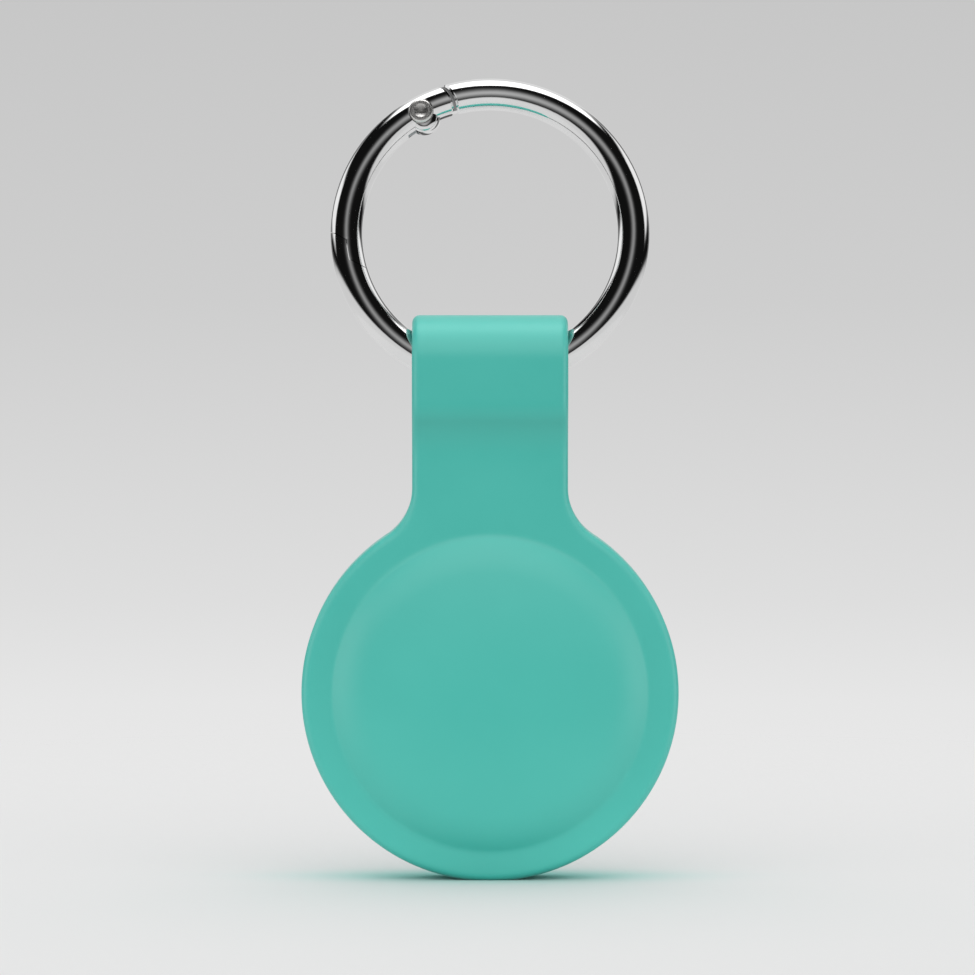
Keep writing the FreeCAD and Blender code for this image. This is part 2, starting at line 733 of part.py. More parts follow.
# Hinge rivet: shank, two rounded heads, each with a shallow dish.
rivet = ring_body("hinge_rivet")
seat = size.spot_half + size.seat_gap
crown_at = seat + size.head_height
head_side = crown_at - size.head_round
rounded_at = size.head_radius - size.head_round
dish = (size.head_dish_radius**2 + size.head_dish_depth**2) / (2 * size.head_dish_depth)
dish_floor = crown_at - size.head_dish_depth
section = hinge_sketch(rivet, "rivet_section")
first = add_wire(
    section,
    [
        line((-dish_floor, 0), (dish_floor, 0)),
        arc((dish_floor + dish, 0), (crown_at, size.head_dish_radius), (dish_floor, 0)),
        line((crown_at, size.head_dish_radius), (crown_at, rounded_at)),
        arc((head_side, rounded_at), (crown_at, rounded_at), (head_side, size.head_radius)),
        line((head_side, size.head_radius), (seat, size.head_radius)),
        line((seat, size.head_radius), (seat, size.rivet_radius)),
        line((seat, size.rivet_radius), (-seat, size.rivet_radius)),
        line((-seat, size.rivet_radius), (-seat, size.head_radius)),
        line((-seat, size.head_radius), (-head_side, size.head_radius)),
        arc((-head_side, rounded_at), (-head_side, size.head_radius), (-crown_at, rounded_at)),
        line((-crown_at, rounded_at), (-crown_at, size.head_dish_radius)),
        arc((-dish_floor - dish, 0), (-dish_floor, 0), (-crown_at, size.head_dish_radius)),
    ],
)
hold_point(section, first + 5, 2, "spot_half + seat_gap", "rivet_radius")
hold_point(section, first + 7, 1, "-1 * ( spot_half + seat_gap )", "rivet_radius")
turn(rivet, "Revolution", "rivet_body", section)

# Spring plunger: a flat-ended pin on the cam, with a spigot in the spring.
plunger = ring_body("spring_plunger")
pin = hinge_sketch(plunger, "plunger_section", "-1 * plunger_tip - plunger_length")
add_circle(pin, (0, -size.bore_drop), size.plunger_radius, "plunger_radius", up="-1 * bore_drop")
extrude(plunger, "Pad", "plunger_pin", pin, "plunger_length")
tail = hinge_sketch(plunger, "plunger_spigot_section", "-1 * plunger_tip - plunger_length")
add_circle(tail, (0, -size.bore_drop), size.spigot_radius, "spigot_radius", up="-1 * bore_drop")
extrude(plunger, "Pad", "plunger_spigot", tail, "spigot_length", back=True)

# Gate spring: one round wire on a helix that is drawn as pairs of arcs, each pair a quarter turn.
spring_front = size.plunger_tip + size.plunger_length + size.spring_end_gap + size.spring_wire / 2
spring_back = size.bore_depth - size.spring_end_gap - size.spring_wire / 2
spring_turns = max(1, round((spring_back - spring_front) / size.spring_pitch))
spring_pitch = (spring_back - spring_front) / spring_turns


def helix_point(turns):
    """A point on the spring's middle line and its direction, with the spring's axis on Z."""
    angle = 2 * math.pi * turns
    point = Vector(size.spring_radius * math.cos(angle), size.spring_radius * math.sin(angle), spring_pitch * turns)
    round_rate = 2 * math.pi * size.spring_radius
    way = Vector(-round_rate * math.sin(angle), round_rate * math.cos(angle), spring_pitch)
    return point, way.normalize()


def one_arc(start, control, end):
    """The arc from start to end whose end tangents meet at control."""
    chord_middle = (start + end) / 2
    half_chord = (end - start).Length / 2
    rise = control - chord_middle
    angle = math.atan2(rise.Length, half_chord)
    top = chord_middle + rise / rise.Length * half_chord * math.tan(angle / 2)
    return Part.Arc(start, top, end).toShape()


def arc_pair(begin, finish):
    """Two arcs that join smoothly from one point and direction to the next."""
    (start, leave), (end, arrive) = begin, finish
    chord = end - start
    facing = chord.dot(leave + arrive)
    spread = 2 * (1 - leave.dot(arrive))
    reach = (math.sqrt(facing**2 + spread * chord.dot(chord)) - facing) / spread
    near, far = start + leave * reach, end - arrive * reach
    join = (near + far) / 2
    return [one_arc(start, near, join), one_arc(join, far, end)]


stations = [helix_point(step / ARCS_PER_TURN) for step in range(spring_turns * ARCS_PER_TURN + 1)]
coil_edges = []
for begin, finish in zip(stations, stations[1:]):
    coil_edges += arc_pair(begin, finish)
coil_path = Part.Wire(coil_edges)
coil_start, coil_way = stations[0]
coil_circle = Part.Circle(coil_start, coil_way, size.spring_wire / 2)
coil_section = Part.Wire([coil_circle.toShape()])
coil_shell = Part.BRepOffsetAPI.MakePipeShell(coil_path)
coil_shell.add(coil_section)
coil_shell.build()
coil_shell.makeSolid()
spring = doc.addObject("Part::Feature", "gate_spring")
spring.Shape = coil_shell.shape()
spring_turn = Rotation(Vector(0, 0, 1), Vector(-along_wire[0], 0, -along_wire[1]))
spring_at = by_rivet(-spring_front, -size.bore_drop)
ring_lean = Rotation(Vector(-1, 0, 0), size.lean_angle)
lean_turn = math.radians(size.lean_angle)
ring_middle = Vector(
    0,
    size.ring_offset * math.sin(lean_turn),
    size.centre_height + size.pivot_height + size.ring_offset * math.cos(lean_turn),
)
in_ring = Placement(Vector(spring_at[0], 0, spring_at[1]), spring_turn)
spring.Placement = Placement(ring_middle, ring_lean).multiply(in_ring)
path_points = coil_path.discretize(Number=100 * spring_turns)
turn_points = len(path_points) // spring_turns
least = min(
    (path_points[i] - path_points[j]).Length
    for i in range(len(path_points))
    for j in range(i + turn_points // 2, len(path_points))
)
print("gate_spring: least gap between turns %.3f mm" % (least - size.spring_wire))

# Tag shell: rounded front and sides in one wall, with a rim round the cover's hole.
shell = new_body("tag_shell", "centre_height")
skin, skin_front, skin_back = tag_outline(0.0, size.rim_back)
inside, inside_front, inside_back = tag_outline(-size.shell_wall, size.rim_inner)
section = new_sketch(shell, "shell_section", "YZ_Plane")
first = add_wire(
    section,
    skin
    + [
        line(skin_back, (size.rim_back, size.cover_hole_radius)),
        line((size.rim_back, size.cover_hole_radius), (size.rim_inner, size.cover_hole_radius)),
        line((size.rim_inner, size.cover_hole_radius), inside_back),
    ]
    + inside[::-1]
    + [line(inside_front, skin_front)],
)
hold_radius(section, first + 1, "belly_radius")
hold_point(section, first + 3, 1, "rim_back", "cover_hole_radius")
hold_point(section, first + 3, 2, "rim_inner", "cover_hole_radius")
turn(shell, "Revolution", "shell_wall_body", section)

# Battery cover: a shallow dish with a skirt and three bayonet tabs inside it.
cover = new_body("battery_cover", "centre_height")
cover_drop = size.half_tag - size.cover_edge
cover_round = (size.cover_radius**2 + cover_drop**2) / (2 * cover_drop)
cover_middle = (size.half_tag - cover_round, 0)
skirt_inner = size.skirt_radius - size.skirt_wall
under = cover_round - size.cover_wall
under_edge = (cover_middle[0] + math.sqrt(under**2 - skirt_inner**2), skirt_inner)
under_middle = (size.half_tag - size.cover_wall, 0)
section = new_sketch(cover, "cover_section", "YZ_Plane")
first = add_wire(
    section,
    [
        arc(cover_middle, (size.half_tag, 0), (size.cover_edge, size.cover_radius)),
        line((size.cover_edge, size.cover_radius), (size.cover_seat, size.cover_radius)),
        line((size.cover_seat, size.cover_radius), (size.cover_seat, size.skirt_radius)),
        line((size.cover_seat, size.skirt_radius), (size.skirt_low, size.skirt_radius)),
        line((size.skirt_low, size.skirt_radius), (size.skirt_low, skirt_inner)),
        line((size.skirt_low, skirt_inner), under_edge),
        arc(cover_middle, under_middle, under_edge),
        line(under_middle, (size.half_tag, 0)),
    ],
)
hold_point(section, first + 1, 1, "cover_edge", "cover_radius")
hold_point(section, first + 3, 2, "skirt_low", "skirt_radius")
turn(cover, "Revolution", "cover_dish", section)


def add_sector(sketch, inner, outer, low, high, inner_name, outer_name):
    """A piece of a ring between two radii and two angles from straight up, in degrees, counter-clockwise."""
    low, high = math.radians(90 + low), math.radians(90 + high)
    corners = [(r * math.cos(a), r * math.sin(a)) for r in (inner, outer) for a in (low, high)]
    begin = add_wire(
        sketch,
        [
            arc((0, 0), corners[2], corners[3]),
            line(corners[3], corners[1]),
            arc((0, 0), corners[0], corners[1]),
            line(corners[0], corners[2]),
        ],
    )
    hold_radius(sketch, begin, outer_name)
    hold_radius(sketch, begin + 2, inner_name)


tab = new_sketch(cover, "tab_section", "XZ_Plane", "-1 * skirt_low")
half_tab = size.tab_span / 2
add_sector(
    tab,
    size.tab_inner_radius,
    skirt_inner + size.merge,
    -half_tab,
    half_tab,
    "tab_inner_radius",
    "skirt_radius - skirt_wall + merge",
)
tab_pad = extrude(cover, "Pad", "cover_tab", tab, "tab_thick", back=True)
repeat(cover, "cover_tabs", [tab_pad], TABS)

# Cell tray: floor and cell wall, three bayonet lugs with stops, and recesses for the contacts.
tray = new_body("cell_tray", "centre_height")
section = new_sketch(tray, "tray_section", "YZ_Plane")
first = add_polygon(
    section,
    [
        (-size.tray_front, 0),
        (-size.tray_front, size.tray_radius),
        (-size.tray_floor, size.tray_radius),
        (-size.tray_floor, size.tray_wall_radius),
        (size.tray_wall_top, size.tray_wall_radius),
        (size.tray_wall_top, size.tray_bore_radius),
        (-size.tray_floor, size.tray_bore_radius),
        (-size.tray_floor, 0),
    ],
)
hold_point(section, first + 1, 2, "-1 * tray_front", "tray_radius")
hold_point(section, first + 4, 2, "tray_wall_top", "tray_wall_radius")
hold_point(section, first + 6, 2, "-1 * tray_floor", "tray_bore_radius")
turn(tray, "Revolution", "tray_dish", section)
half_lug = size.lug_span / 2
stop_end = size.stop_start + size.stop_span
wall_in = size.tray_wall_radius - size.merge
lug = new_sketch(tray, "lug_section", "XZ_Plane", "-1 * tray_wall_top")
add_sector(
    lug, wall_in, size.lug_radius, -half_lug, stop_end, "tray_wall_radius - merge", "lug_radius"
)
lug_pad = extrude(tray, "Pad", "tray_lug", lug, "lug_thick")
stop = new_sketch(tray, "stop_section", "XZ_Plane", "-1 * tray_wall_top")
add_sector(
    stop, wall_in, size.lug_radius, size.stop_start, stop_end, "tray_wall_radius - merge", "lug_radius"
)
stop_pad = extrude(tray, "Pad", "tray_stop", stop, "tray_wall_top - stop_low")
repeat(tray, "tray_lugs", [lug_pad, stop_pad], TABS)
recess = new_sketch(tray, "recess_section", "XZ_Plane", "tray_floor")
half_recess = size.recess_width / 2
recess_end = size.recess_start + size.recess_length
first = add_polygon(
    recess,
    [
        (-half_recess, size.recess_start),
        (half_recess, size.recess_start),
        (half_recess, recess_end),
        (-half_recess, recess_end),
    ],
)
hold_point(recess, first + 2, 2, "recess_width / 2", "recess_start + recess_length")
recess_cut = extrude(tray, "Pocket", "tray_recess", recess, "recess_depth", back=True)
repeat(tray, "tray_recesses", [recess_cut], CONTACTS)

# Cell contacts: three bent leaves that rise from the recesses to the cell.
leaf = new_body("cell_contacts", "centre_height")
leaf_low = size.cell_gap - size.tray_floor - size.recess_depth
leaf_knee = size.leaf_start + size.leaf_foot
leaf_top = leaf_knee + size.leaf_ramp
leaf_end = leaf_top + size.leaf_tip
section = new_sketch(leaf, "leaf_section", "YZ_Plane")
under_leaf = [
    (leaf_low, size.leaf_start),
    (leaf_low, leaf_knee),
    (leaf_low + size.leaf_rise, leaf_top),
    (leaf_low + size.leaf_rise, leaf_end),
]
over_leaf = [(depth + size.leaf_wall, radius) for depth, radius in under_leaf]
first = add_polygon(section, under_leaf + over_leaf[::-1])
hold_point(section, first + 1, 1, up="leaf_start")
leaf_pad = extrude(leaf, "Pad", "leaf", section, "leaf_width", both=True)
repeat(leaf, "leaves", [leaf_pad], CONTACTS)

# Circuit board: a ring with three locating notches.
board = new_body("circuit_board", "centre_height")
section = new_sketch(board, "board_section", "XZ_Plane", "tray_front + board_gap")
add_circle(section, (0, 0), size.board_radius, "board_radius")
add_circle(section, (0, 0), size.board_hole_radius, "board_hole_radius")
extrude(board, "Pad", "board_plate", section, "board_thick")
notch = new_sketch(board, "notch_section", "XZ_Plane")
add_circle(notch, (0, size.board_radius), size.notch_radius, "notch_radius", up="board_radius")
notch_cut = extrude(board, "Pocket", "board_notch", notch, "tag_thick", both=True)
repeat(board, "board_notches", [notch_cut], NOTCHES)

# Board chips: two large ones and a ring of small passives on the front of the board.
chips = new_body("board_chips", "centre_height")
board_front = "tray_front + board_gap + board_thick"


def add_block(sketch, angle, length, width):
    """A rectangle on the ring of chips, turned to face the middle."""
    way = (math.cos(angle), math.sin(angle))
    corners = []
    for u, v in ((-1, -1), (1, -1), (1, 1), (-1, 1)):
        across, away = u * length / 2, size.chip_ring_radius + v * width / 2
        corners.append((away * way[0] - across * way[1], away * way[1] + across * way[0]))
    return add_polygon(sketch, corners)


large = new_sketch(chips, "large_chip_section", "XZ_Plane", board_front)
add_block(large, math.radians(60), size.chip_side, size.chip_side)
add_block(large, math.radians(200), size.chip_side, size.chip_side * 0.75)
extrude(chips, "Pad", "large_chips", large, "chip_height")
small = new_sketch(chips, "passive_section", "XZ_Plane", board_front)
for number in range(PASSIVES):
    add_block(small, math.radians(250 + 18 * number), size.passive_length, size.passive_width)
extrude(chips, "Pad", "passives", small, "passive_height")

# Speaker: magnet on the tray and voice coil on the shell.
magnet = new_body("speaker_magnet", "centre_height")
section = new_sketch(magnet, "magnet_section", "XZ_Plane", "tray_front + cell_gap / 2")
add_circle(section, (0, 0), size.magnet_radius, "magnet_radius")
magnet_pad = extrude(magnet, "Pad", "magnet_disc", section, "magnet_depth")
magnet_rim = edges_where(magnet_pad.Shape, lambda edge: is_circle(edge, size.magnet_radius))
dress(magnet, "Chamfer", "magnet_bevel_cut", magnet_pad, magnet_rim, "Size", "magnet_bevel")
coil = new_body("speaker_coil", "centre_height")
section = new_sketch(coil, "coil_ring_section", "XZ_Plane", "coil_front - coil_depth")
add_circle(section, (0, 0), size.coil_inner_radius, "coil_inner_radius")
coil_out = size.coil_inner_radius + size.coil_wall
add_circle(section, (0, 0), coil_out, "coil_inner_radius + coil_wall")
extrude(coil, "Pad", "coil_ring", section, "coil_depth")

# Cover seal: a rounded ring between the tray's wall and the cover.
seal = new_body("cover_seal", "centre_height")
section = new_sketch(seal, "seal_section", "XZ_Plane", "-1 * seal_back")
add_circle(section, (0, 0), size.seal_inner_radius, "seal_inner_radius")
seal_out = size.seal_inner_radius + size.seal_wall
add_circle(section, (0, 0), seal_out, "seal_inner_radius + seal_wall")
seal_pad = extrude(seal, "Pad", "seal_ring", section, "seal_back - tray_wall_top - seat_gap")
seal_edges = edges_where(seal_pad.Shape, lambda edge: isinstance(edge.Curve, Part.Circle))
dress(seal, "Fillet", "seal_round_edges", seal_pad, seal_edges, "Radius", "seal_round")

# Coin cell: can, gasket, cap and the filling between them.
can = new_body("cell_can", "centre_height")
cell_back = size.cell_thick - size.cell_front
can_in = size.cell_radius - size.cell_wall
crimp_in = size.cell_radius - size.cell_wall - size.crimp
section = new_sketch(can, "can_section", "YZ_Plane")
first = add_polygon(
    section,
    [
        (cell_back, 0),
        (cell_back, size.cell_radius - size.cell_bevel),
        (cell_back - size.cell_bevel, size.cell_radius),
        (size.can_front, size.cell_radius),
        (size.can_front, crimp_in),
        (size.can_front + size.cell_wall, crimp_in),
        (size.can_front + size.cell_wall, can_in),
        (cell_back - size.cell_wall, can_in),
        (cell_back - size.cell_wall, 0),
    ],
)
hold_point(section, first + 3, 2, "can_front", "cell_radius")
turn(can, "Revolution", "can_cup", section)
gasket = new_body("cell_gasket", "centre_height")
gasket_low = size.can_front + size.cell_wall + size.cell_gap
gasket_high = cell_back - size.cell_wall - size.cell_gap
gasket_in = size.cap_cell_radius + size.cell_gap
gasket_out = can_in - size.cell_gap
section = new_sketch(gasket, "gasket_section", "YZ_Plane")
first = add_polygon(
    section,
    [
        (gasket_low, gasket_in),
        (gasket_low, gasket_out),
        (gasket_high, gasket_out),
        (gasket_high, gasket_in),
    ],
)
hold_point(section, first + 2, 2, up="cell_radius - cell_wall - cell_gap")
turn(gasket, "Revolution", "gasket_ring", section)
cap = new_body("cell_cap", "centre_height")
cap_end_at = size.cap_depth - size.cell_front
cap_in = size.cap_cell_radius - size.cell_wall
section = new_sketch(cap, "cap_section", "YZ_Plane")
first = add_polygon(
    section,
    [
        (-size.cell_front, 0),
        (-size.cell_front, size.cap_cell_radius - size.cap_bevel),
        (size.cap_bevel - size.cell_front, size.cap_cell_radius),
        (cap_end_at, size.cap_cell_radius),
        (cap_end_at, cap_in),
        (size.cell_wall - size.cell_front + size.cap_bevel, cap_in),
        (size.cell_wall - size.cell_front, cap_in - size.cap_bevel),
        (size.cell_wall - size.cell_front, 0),
    ],
)
hold_point(section, first + 3, 2, "cap_depth - cell_front", "cap_cell_radius")
turn(cap, "Revolution", "cap_cup", section)
core = new_body("cell_core", "centre_height")
core_low = size.cell_wall - size.cell_front + size.cell_gap
core_radius = cap_in - size.cap_bevel - size.cell_gap
core_name = "cell_wall - cell_front + cell_gap"
section = new_sketch(core, "core_section", "XZ_Plane", "-1 * ( %s )" % core_name)
add_circle(section, (0, 0), core_radius, "cap_cell_radius - cell_wall - cap_bevel - cell_gap")
core_length = "cell_thick - cell_front - cell_wall - cell_gap - ( %s )" % core_name
extrude(core, "Pad", "core_disc", section, core_length, back=True)

doc.recompute()
NODES = [
    holder, frame, gate, rivet, spring, plunger, shell, cover, tray, leaf, board, chips, magnet, coil, seal,
    can, gasket, cap, core,
]
faults = [item.Name for item in doc.Objects if "Invalid" in item.State or "Error" in item.State]
if faults:
    raise RuntimeError("not recomputed: " + ", ".join(faults))
for node in NODES:
    if node.Shape.isNull() or not node.Shape.isValid() or not node.Shape.Solids:
        raise RuntimeError("bad shape: " + node.Label)
    node.Shape.exportStep("parts/%s.step" % node.Label)
    box = node.Shape.optimalBoundingBox()
    print("%-16s %d solid %10.3f mm3  x %.2f..%.2f  y %.2f..%.2f  z %.2f..%.2f" % (
        node.Label, len(node.Shape.Solids), node.Shape.Volume,
        box.XMin, box.XMax, box.YMin, box.YMax, box.ZMin, box.ZMax,
    ))
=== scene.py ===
import math

import bpy
import numpy as np
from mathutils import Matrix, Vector


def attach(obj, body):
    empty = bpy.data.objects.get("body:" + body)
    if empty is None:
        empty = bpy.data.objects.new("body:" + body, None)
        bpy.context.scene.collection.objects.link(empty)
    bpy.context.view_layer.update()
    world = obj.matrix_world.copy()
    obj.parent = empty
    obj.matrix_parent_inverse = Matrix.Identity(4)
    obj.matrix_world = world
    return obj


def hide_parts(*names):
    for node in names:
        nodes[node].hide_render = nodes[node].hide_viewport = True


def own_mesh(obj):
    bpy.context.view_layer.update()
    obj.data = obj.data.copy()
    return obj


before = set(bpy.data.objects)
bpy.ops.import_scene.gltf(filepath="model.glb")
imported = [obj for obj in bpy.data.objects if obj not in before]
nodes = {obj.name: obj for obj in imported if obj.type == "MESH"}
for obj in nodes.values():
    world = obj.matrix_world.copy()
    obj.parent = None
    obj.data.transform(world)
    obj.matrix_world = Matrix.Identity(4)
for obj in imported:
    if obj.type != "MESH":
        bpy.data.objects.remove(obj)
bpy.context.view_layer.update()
MM = 0.001

# Sizes of the moulding in millimetres, as in the part's source. Heights are from the middle of the round body.
DISC_HEIGHT = 19.85
DISC_RADIUS = 20.0
STRAP_HALF = 8.25
NECK_ROUND = 6.1
RIM_ROUND = 0.8
HALF_FLANGE = 2.8
HALF_LOOP = 4.6
LOOP_TOP = 40.05
LOOP_FLAT_LOW = 31.25
PINCH_LOW = 24.45
SWELL_SHARE = 0.35
LOOP_HOLE = 3.25
LOOP_HOLE_HEIGHT = 35.15
LOOP_MOUTH_ROUND = 0.45
DOME_RADIUS = 16.77
DOME_FRONT = 6.0
CAP_RADIUS = 60.0
CAP_EDGE = 13.0
LIP_BACK = 5.0
LIP_FLAT = 14.4
LIP_INNER = 3.75
WINDOW_RADIUS = 11.8
WINDOW_ROUND = 0.5
TAG_RADIUS = 15.95
TAG_HALF = 4.0
TAG_GAP = 0.12
BELLY_RADIUS = 3.9
BELLY_SHIFT = 0.6
CREASE_SOFT = 0.22
FOOT_ROUND = 0.06

# Middle of the ring, in metres.
RING_MIDDLE = Vector((0.0, 0.0036319, 0.0685544))

# Camera: the photograph's frame and viewing angle, in metres. The sensor is in millimetres.
VIEW_ELEVATION = math.radians(3.0)
VIEW_DISTANCE = 0.62
VIEW_WIDTH = 0.1035
VIEW_TARGET = Vector((-0.00027, 0.0, 0.0416))
VIEW_CLIP = (0.01, 10.0)
SENSOR = 36.0


def grey(tone):
    """A screen tone of 0 to 255 as linear light."""
    share = tone / 255
    light = share / 12.92 if share <= 0.04045 else ((share + 0.055) / 1.055) ** 2.4
    return (light, light, light, 1.0)


# Materials: the detail of the noise in blotches of colour, in the fine relief and in turning marks, the size of
# blotches on turned metal in metres, and the sockets by which a Mix node takes and gives colours.
BLOTCH_DETAIL = 3.0
RELIEF_DETAIL = 2.0
TURNING_DETAIL = 3.0
TURNED_BLOTCH = 0.004
MIX_FIRST, MIX_SECOND, MIX_RESULT = 6, 7, 2


def new_material(name):
    """A material with an empty node tree."""
    material = bpy.data.materials.new(name)
    material.use_nodes = True
    tree = material.node_tree
    tree.nodes.clear()
    return material, tree


def add(tree, kind, **settings):
    """A new node with its settings."""
    node = tree.nodes.new(kind)
    for key, value in settings.items():
        setattr(node, key, value)
    return node


def join(tree, source, target):
    tree.links.new(source, target)


def noise(tree, vector, size, detail):
    """Cloudy noise with patches of a size in metres."""
    texture = add(tree, "ShaderNodeTexNoise")
    texture.inputs["Scale"].default_value = 1 / size
    texture.inputs["Detail"].default_value = detail
    join(tree, vector, texture.inputs["Vector"])
    return texture.outputs["Fac"]


def spread(tree, value, low, high, from_low=0.3, from_high=0.7):
    """Maps a texture's middle range to a range of values."""
    node = add(tree, "ShaderNodeMapRange")
    node.inputs["From Min"].default_value = from_low
    node.inputs["From Max"].default_value = from_high
    node.inputs["To Min"].default_value = low
    node.inputs["To Max"].default_value = high
    join(tree, value, node.inputs["Value"])
    return node.outputs["Result"]


def two_colours(tree, share, first, second):
    """A colour between two, each given as a value or as the output of a node."""
    node = add(tree, "ShaderNodeMix", data_type="RGBA")
    join(tree, share, node.inputs["Factor"])
    for socket, colour in ((node.inputs[MIX_FIRST], first), (node.inputs[MIX_SECOND], second)):
        if isinstance(colour, tuple):
            socket.default_value = colour
        else:
            join(tree, colour, socket)
    return node.outputs[MIX_RESULT]


def bump(tree, height, depth):
    """A relief of a depth in metres."""
    node = add(tree, "ShaderNodeBump")
    node.inputs["Distance"].default_value = depth
    join(tree, height, node.inputs["Height"])
    return node.outputs["Normal"]


def surface(tree, **values):
    """The main shader, with plain values set on its own sockets."""
    shader = add(tree, "ShaderNodeBsdfPrincipled")
    for name, value in values.items():
        shader.inputs[name.replace("_", " ")].default_value = value
    output = add(tree, "ShaderNodeOutputMaterial")
    join(tree, shader.outputs["BSDF"], output.inputs["Surface"])
    return shader


def place(tree):
    """Where a point lies on its object, in metres."""
    return add(tree, "ShaderNodeTexCoord").outputs["Object"]


def grained(name, first, second, grain, rough, fine, depth, **values):
    """A plain moulded, turned or etched surface: two close colours, uneven gloss and a fine relief. Grain and fine are
    the sizes of the blotches and of the relief in metres, rough is the range of roughness."""
    material, tree = new_material(name)
    shader = surface(tree, **values)
    vector = place(tree)
    blotches = noise(tree, vector, grain, BLOTCH_DETAIL)
    relief = noise(tree, vector, fine, RELIEF_DETAIL)
    join(tree, two_colours(tree, spread(tree, blotches, 0, 1), first, second), shader.inputs["Base Color"])
    join(tree, spread(tree, blotches, *rough), shader.inputs["Roughness"])
    join(tree, bump(tree, relief, depth), shader.inputs["Normal"])
    return material


silicone = grained(
    "silicone_mint",
    first=(0.027, 0.402, 0.339, 1.0),
    second=(0.031, 0.418, 0.353, 1.0),
    grain=0.012,
    rough=(0.42, 0.48),
    fine=0.00022,
    depth=0.000004,
    Sheen_Weight=0.12,
    Sheen_Roughness=0.45,
    Specular_IOR_Level=0.9,
)
chrome = grained(
    "polished_chrome",
    first=(0.80, 0.80, 0.80, 1.0),
    second=(0.84, 0.84, 0.84, 1.0),
    grain=0.004,
    rough=(0.05, 0.07),
    fine=0.002,
    depth=0.0000004,
    Metallic=1.0,
)
rivet_steel = grained(
    "rivet_steel",
    first=(0.76, 0.75, 0.73, 1.0),
    second=(0.84, 0.83, 0.81, 1.0),
    grain=0.0008,
    rough=(0.38, 0.46),
    fine=0.0002,
    depth=0.000002,
    Metallic=1.0,
)
spring_steel = grained(
    "spring_steel",
    first=(0.42, 0.42, 0.43, 1.0),
    second=(0.52, 0.52, 0.53, 1.0),
    grain=0.0006,
    rough=(0.25, 0.35),
    fine=0.00015,
    depth=0.000002,
    Metallic=1.0,
)
shell_white = grained(
    "shell_plastic",
    first=(0.86, 0.86, 0.85, 1.0),
    second=(0.89, 0.89, 0.88, 1.0),
    grain=0.008,
    rough=(0.12, 0.18),
    fine=0.0004,
    depth=0.000001,
    Coat_Weight=0.3,
    Coat_Roughness=0.08,
)
tray_black = grained(
    "tray_plastic",
    first=(0.020, 0.020, 0.022, 1.0),
    second=(0.028, 0.028, 0.030, 1.0),
    grain=0.003,
    rough=(0.45, 0.60),
    fine=0.00012,
    depth=0.000004,
)
contact_gold = grained(
    "contact_metal",
    first=(0.66, 0.44, 0.13, 1.0),
    second=(0.74, 0.52, 0.18, 1.0),
    grain=0.001,
    rough=(0.22, 0.32),
    fine=0.0001,
    depth=0.000001,
    Metallic=1.0,
)
board_green = grained(
    "board_laminate",
    first=(0.010, 0.075, 0.030, 1.0),
    second=(0.014, 0.095, 0.040, 1.0),
    grain=0.0012,
    rough=(0.28, 0.42),
    fine=0.0002,
    depth=0.000003,
)
chip_black = grained(
    "chip_resin",
    first=(0.012, 0.012, 0.013, 1.0),
    second=(0.020, 0.020, 0.021, 1.0),
    grain=0.0008,
    rough=(0.50, 0.62),
    fine=0.00008,
    depth=0.000002,
)
magnet_grey = grained(
    "magnet_metal",
    first=(0.34, 0.34, 0.36, 1.0),
    second=(0.42, 0.42, 0.44, 1.0),
    grain=0.002,
    rough=(0.28, 0.38),
    fine=0.0002,
    depth=0.000002,
    Metallic=1.0,
)
coil_copper = grained(
    "coil_copper",
    first=(0.60, 0.22, 0.09, 1.0),
    second=(0.70, 0.28, 0.12, 1.0),
    grain=0.0004,
    rough=(0.25, 0.40),
    fine=0.0001,
    depth=0.000006,
    Metallic=1.0,
)
seal_black = grained(
    "seal_rubber",
    first=(0.012, 0.012, 0.012, 1.0),
    second=(0.018, 0.018, 0.018, 1.0),
    grain=0.002,
    rough=(0.60, 0.75),
    fine=0.0001,
    depth=0.000003,
)
gasket_pale = grained(
    "gasket_plastic",
    first=(0.50, 0.50, 0.46, 1.0),
    second=(0.56, 0.56, 0.52, 1.0),
    grain=0.002,
    rough=(0.45, 0.55),
    fine=0.0002,
    depth=0.000002,
)
filling_dark = grained(
    "cell_filling",
    first=(0.016, 0.016, 0.017, 1.0),
    second=(0.030, 0.030, 0.032, 1.0),
    grain=0.0006,
    rough=(0.70, 0.85),
    fine=0.0002,
    depth=0.00001,
)


def turned_steel(name, centre, first, second, rough, ring_pitch, depth):
    """Steel turned on a lathe: fine rings about an axis along Y through the centre."""
    material, tree = new_material(name)
    shader = surface(tree, Metallic=1.0)
    vector = place(tree)
    offset = add(tree, "ShaderNodeVectorMath", operation="SUBTRACT")
    offset.inputs[1].default_value = centre
    join(tree, vector, offset.inputs[0])
    flat = add(tree, "ShaderNodeVectorMath", operation="MULTIPLY")
    flat.inputs[1].default_value = (1.0, 0.0, 1.0)
    join(tree, offset.outputs["Vector"], flat.inputs[0])
    radius = add(tree, "ShaderNodeVectorMath", operation="LENGTH")
    join(tree, flat.outputs["Vector"], radius.inputs[0])
    rings = add(tree, "ShaderNodeTexNoise", noise_dimensions="1D")
    rings.inputs["Scale"].default_value = 1 / ring_pitch
    rings.inputs["Detail"].default_value = TURNING_DETAIL
    join(tree, radius.outputs["Value"], rings.inputs["W"])
    blotches = noise(tree, vector, TURNED_BLOTCH, BLOTCH_DETAIL)
    join(tree, two_colours(tree, spread(tree, blotches, 0, 1), first, second), shader.inputs["Base Color"])
    join(tree, spread(tree, rings.outputs["Fac"], *rough), shader.inputs["Roughness"])
    join(tree, bump(tree, rings.outputs["Fac"], depth), shader.inputs["Normal"])
    return material


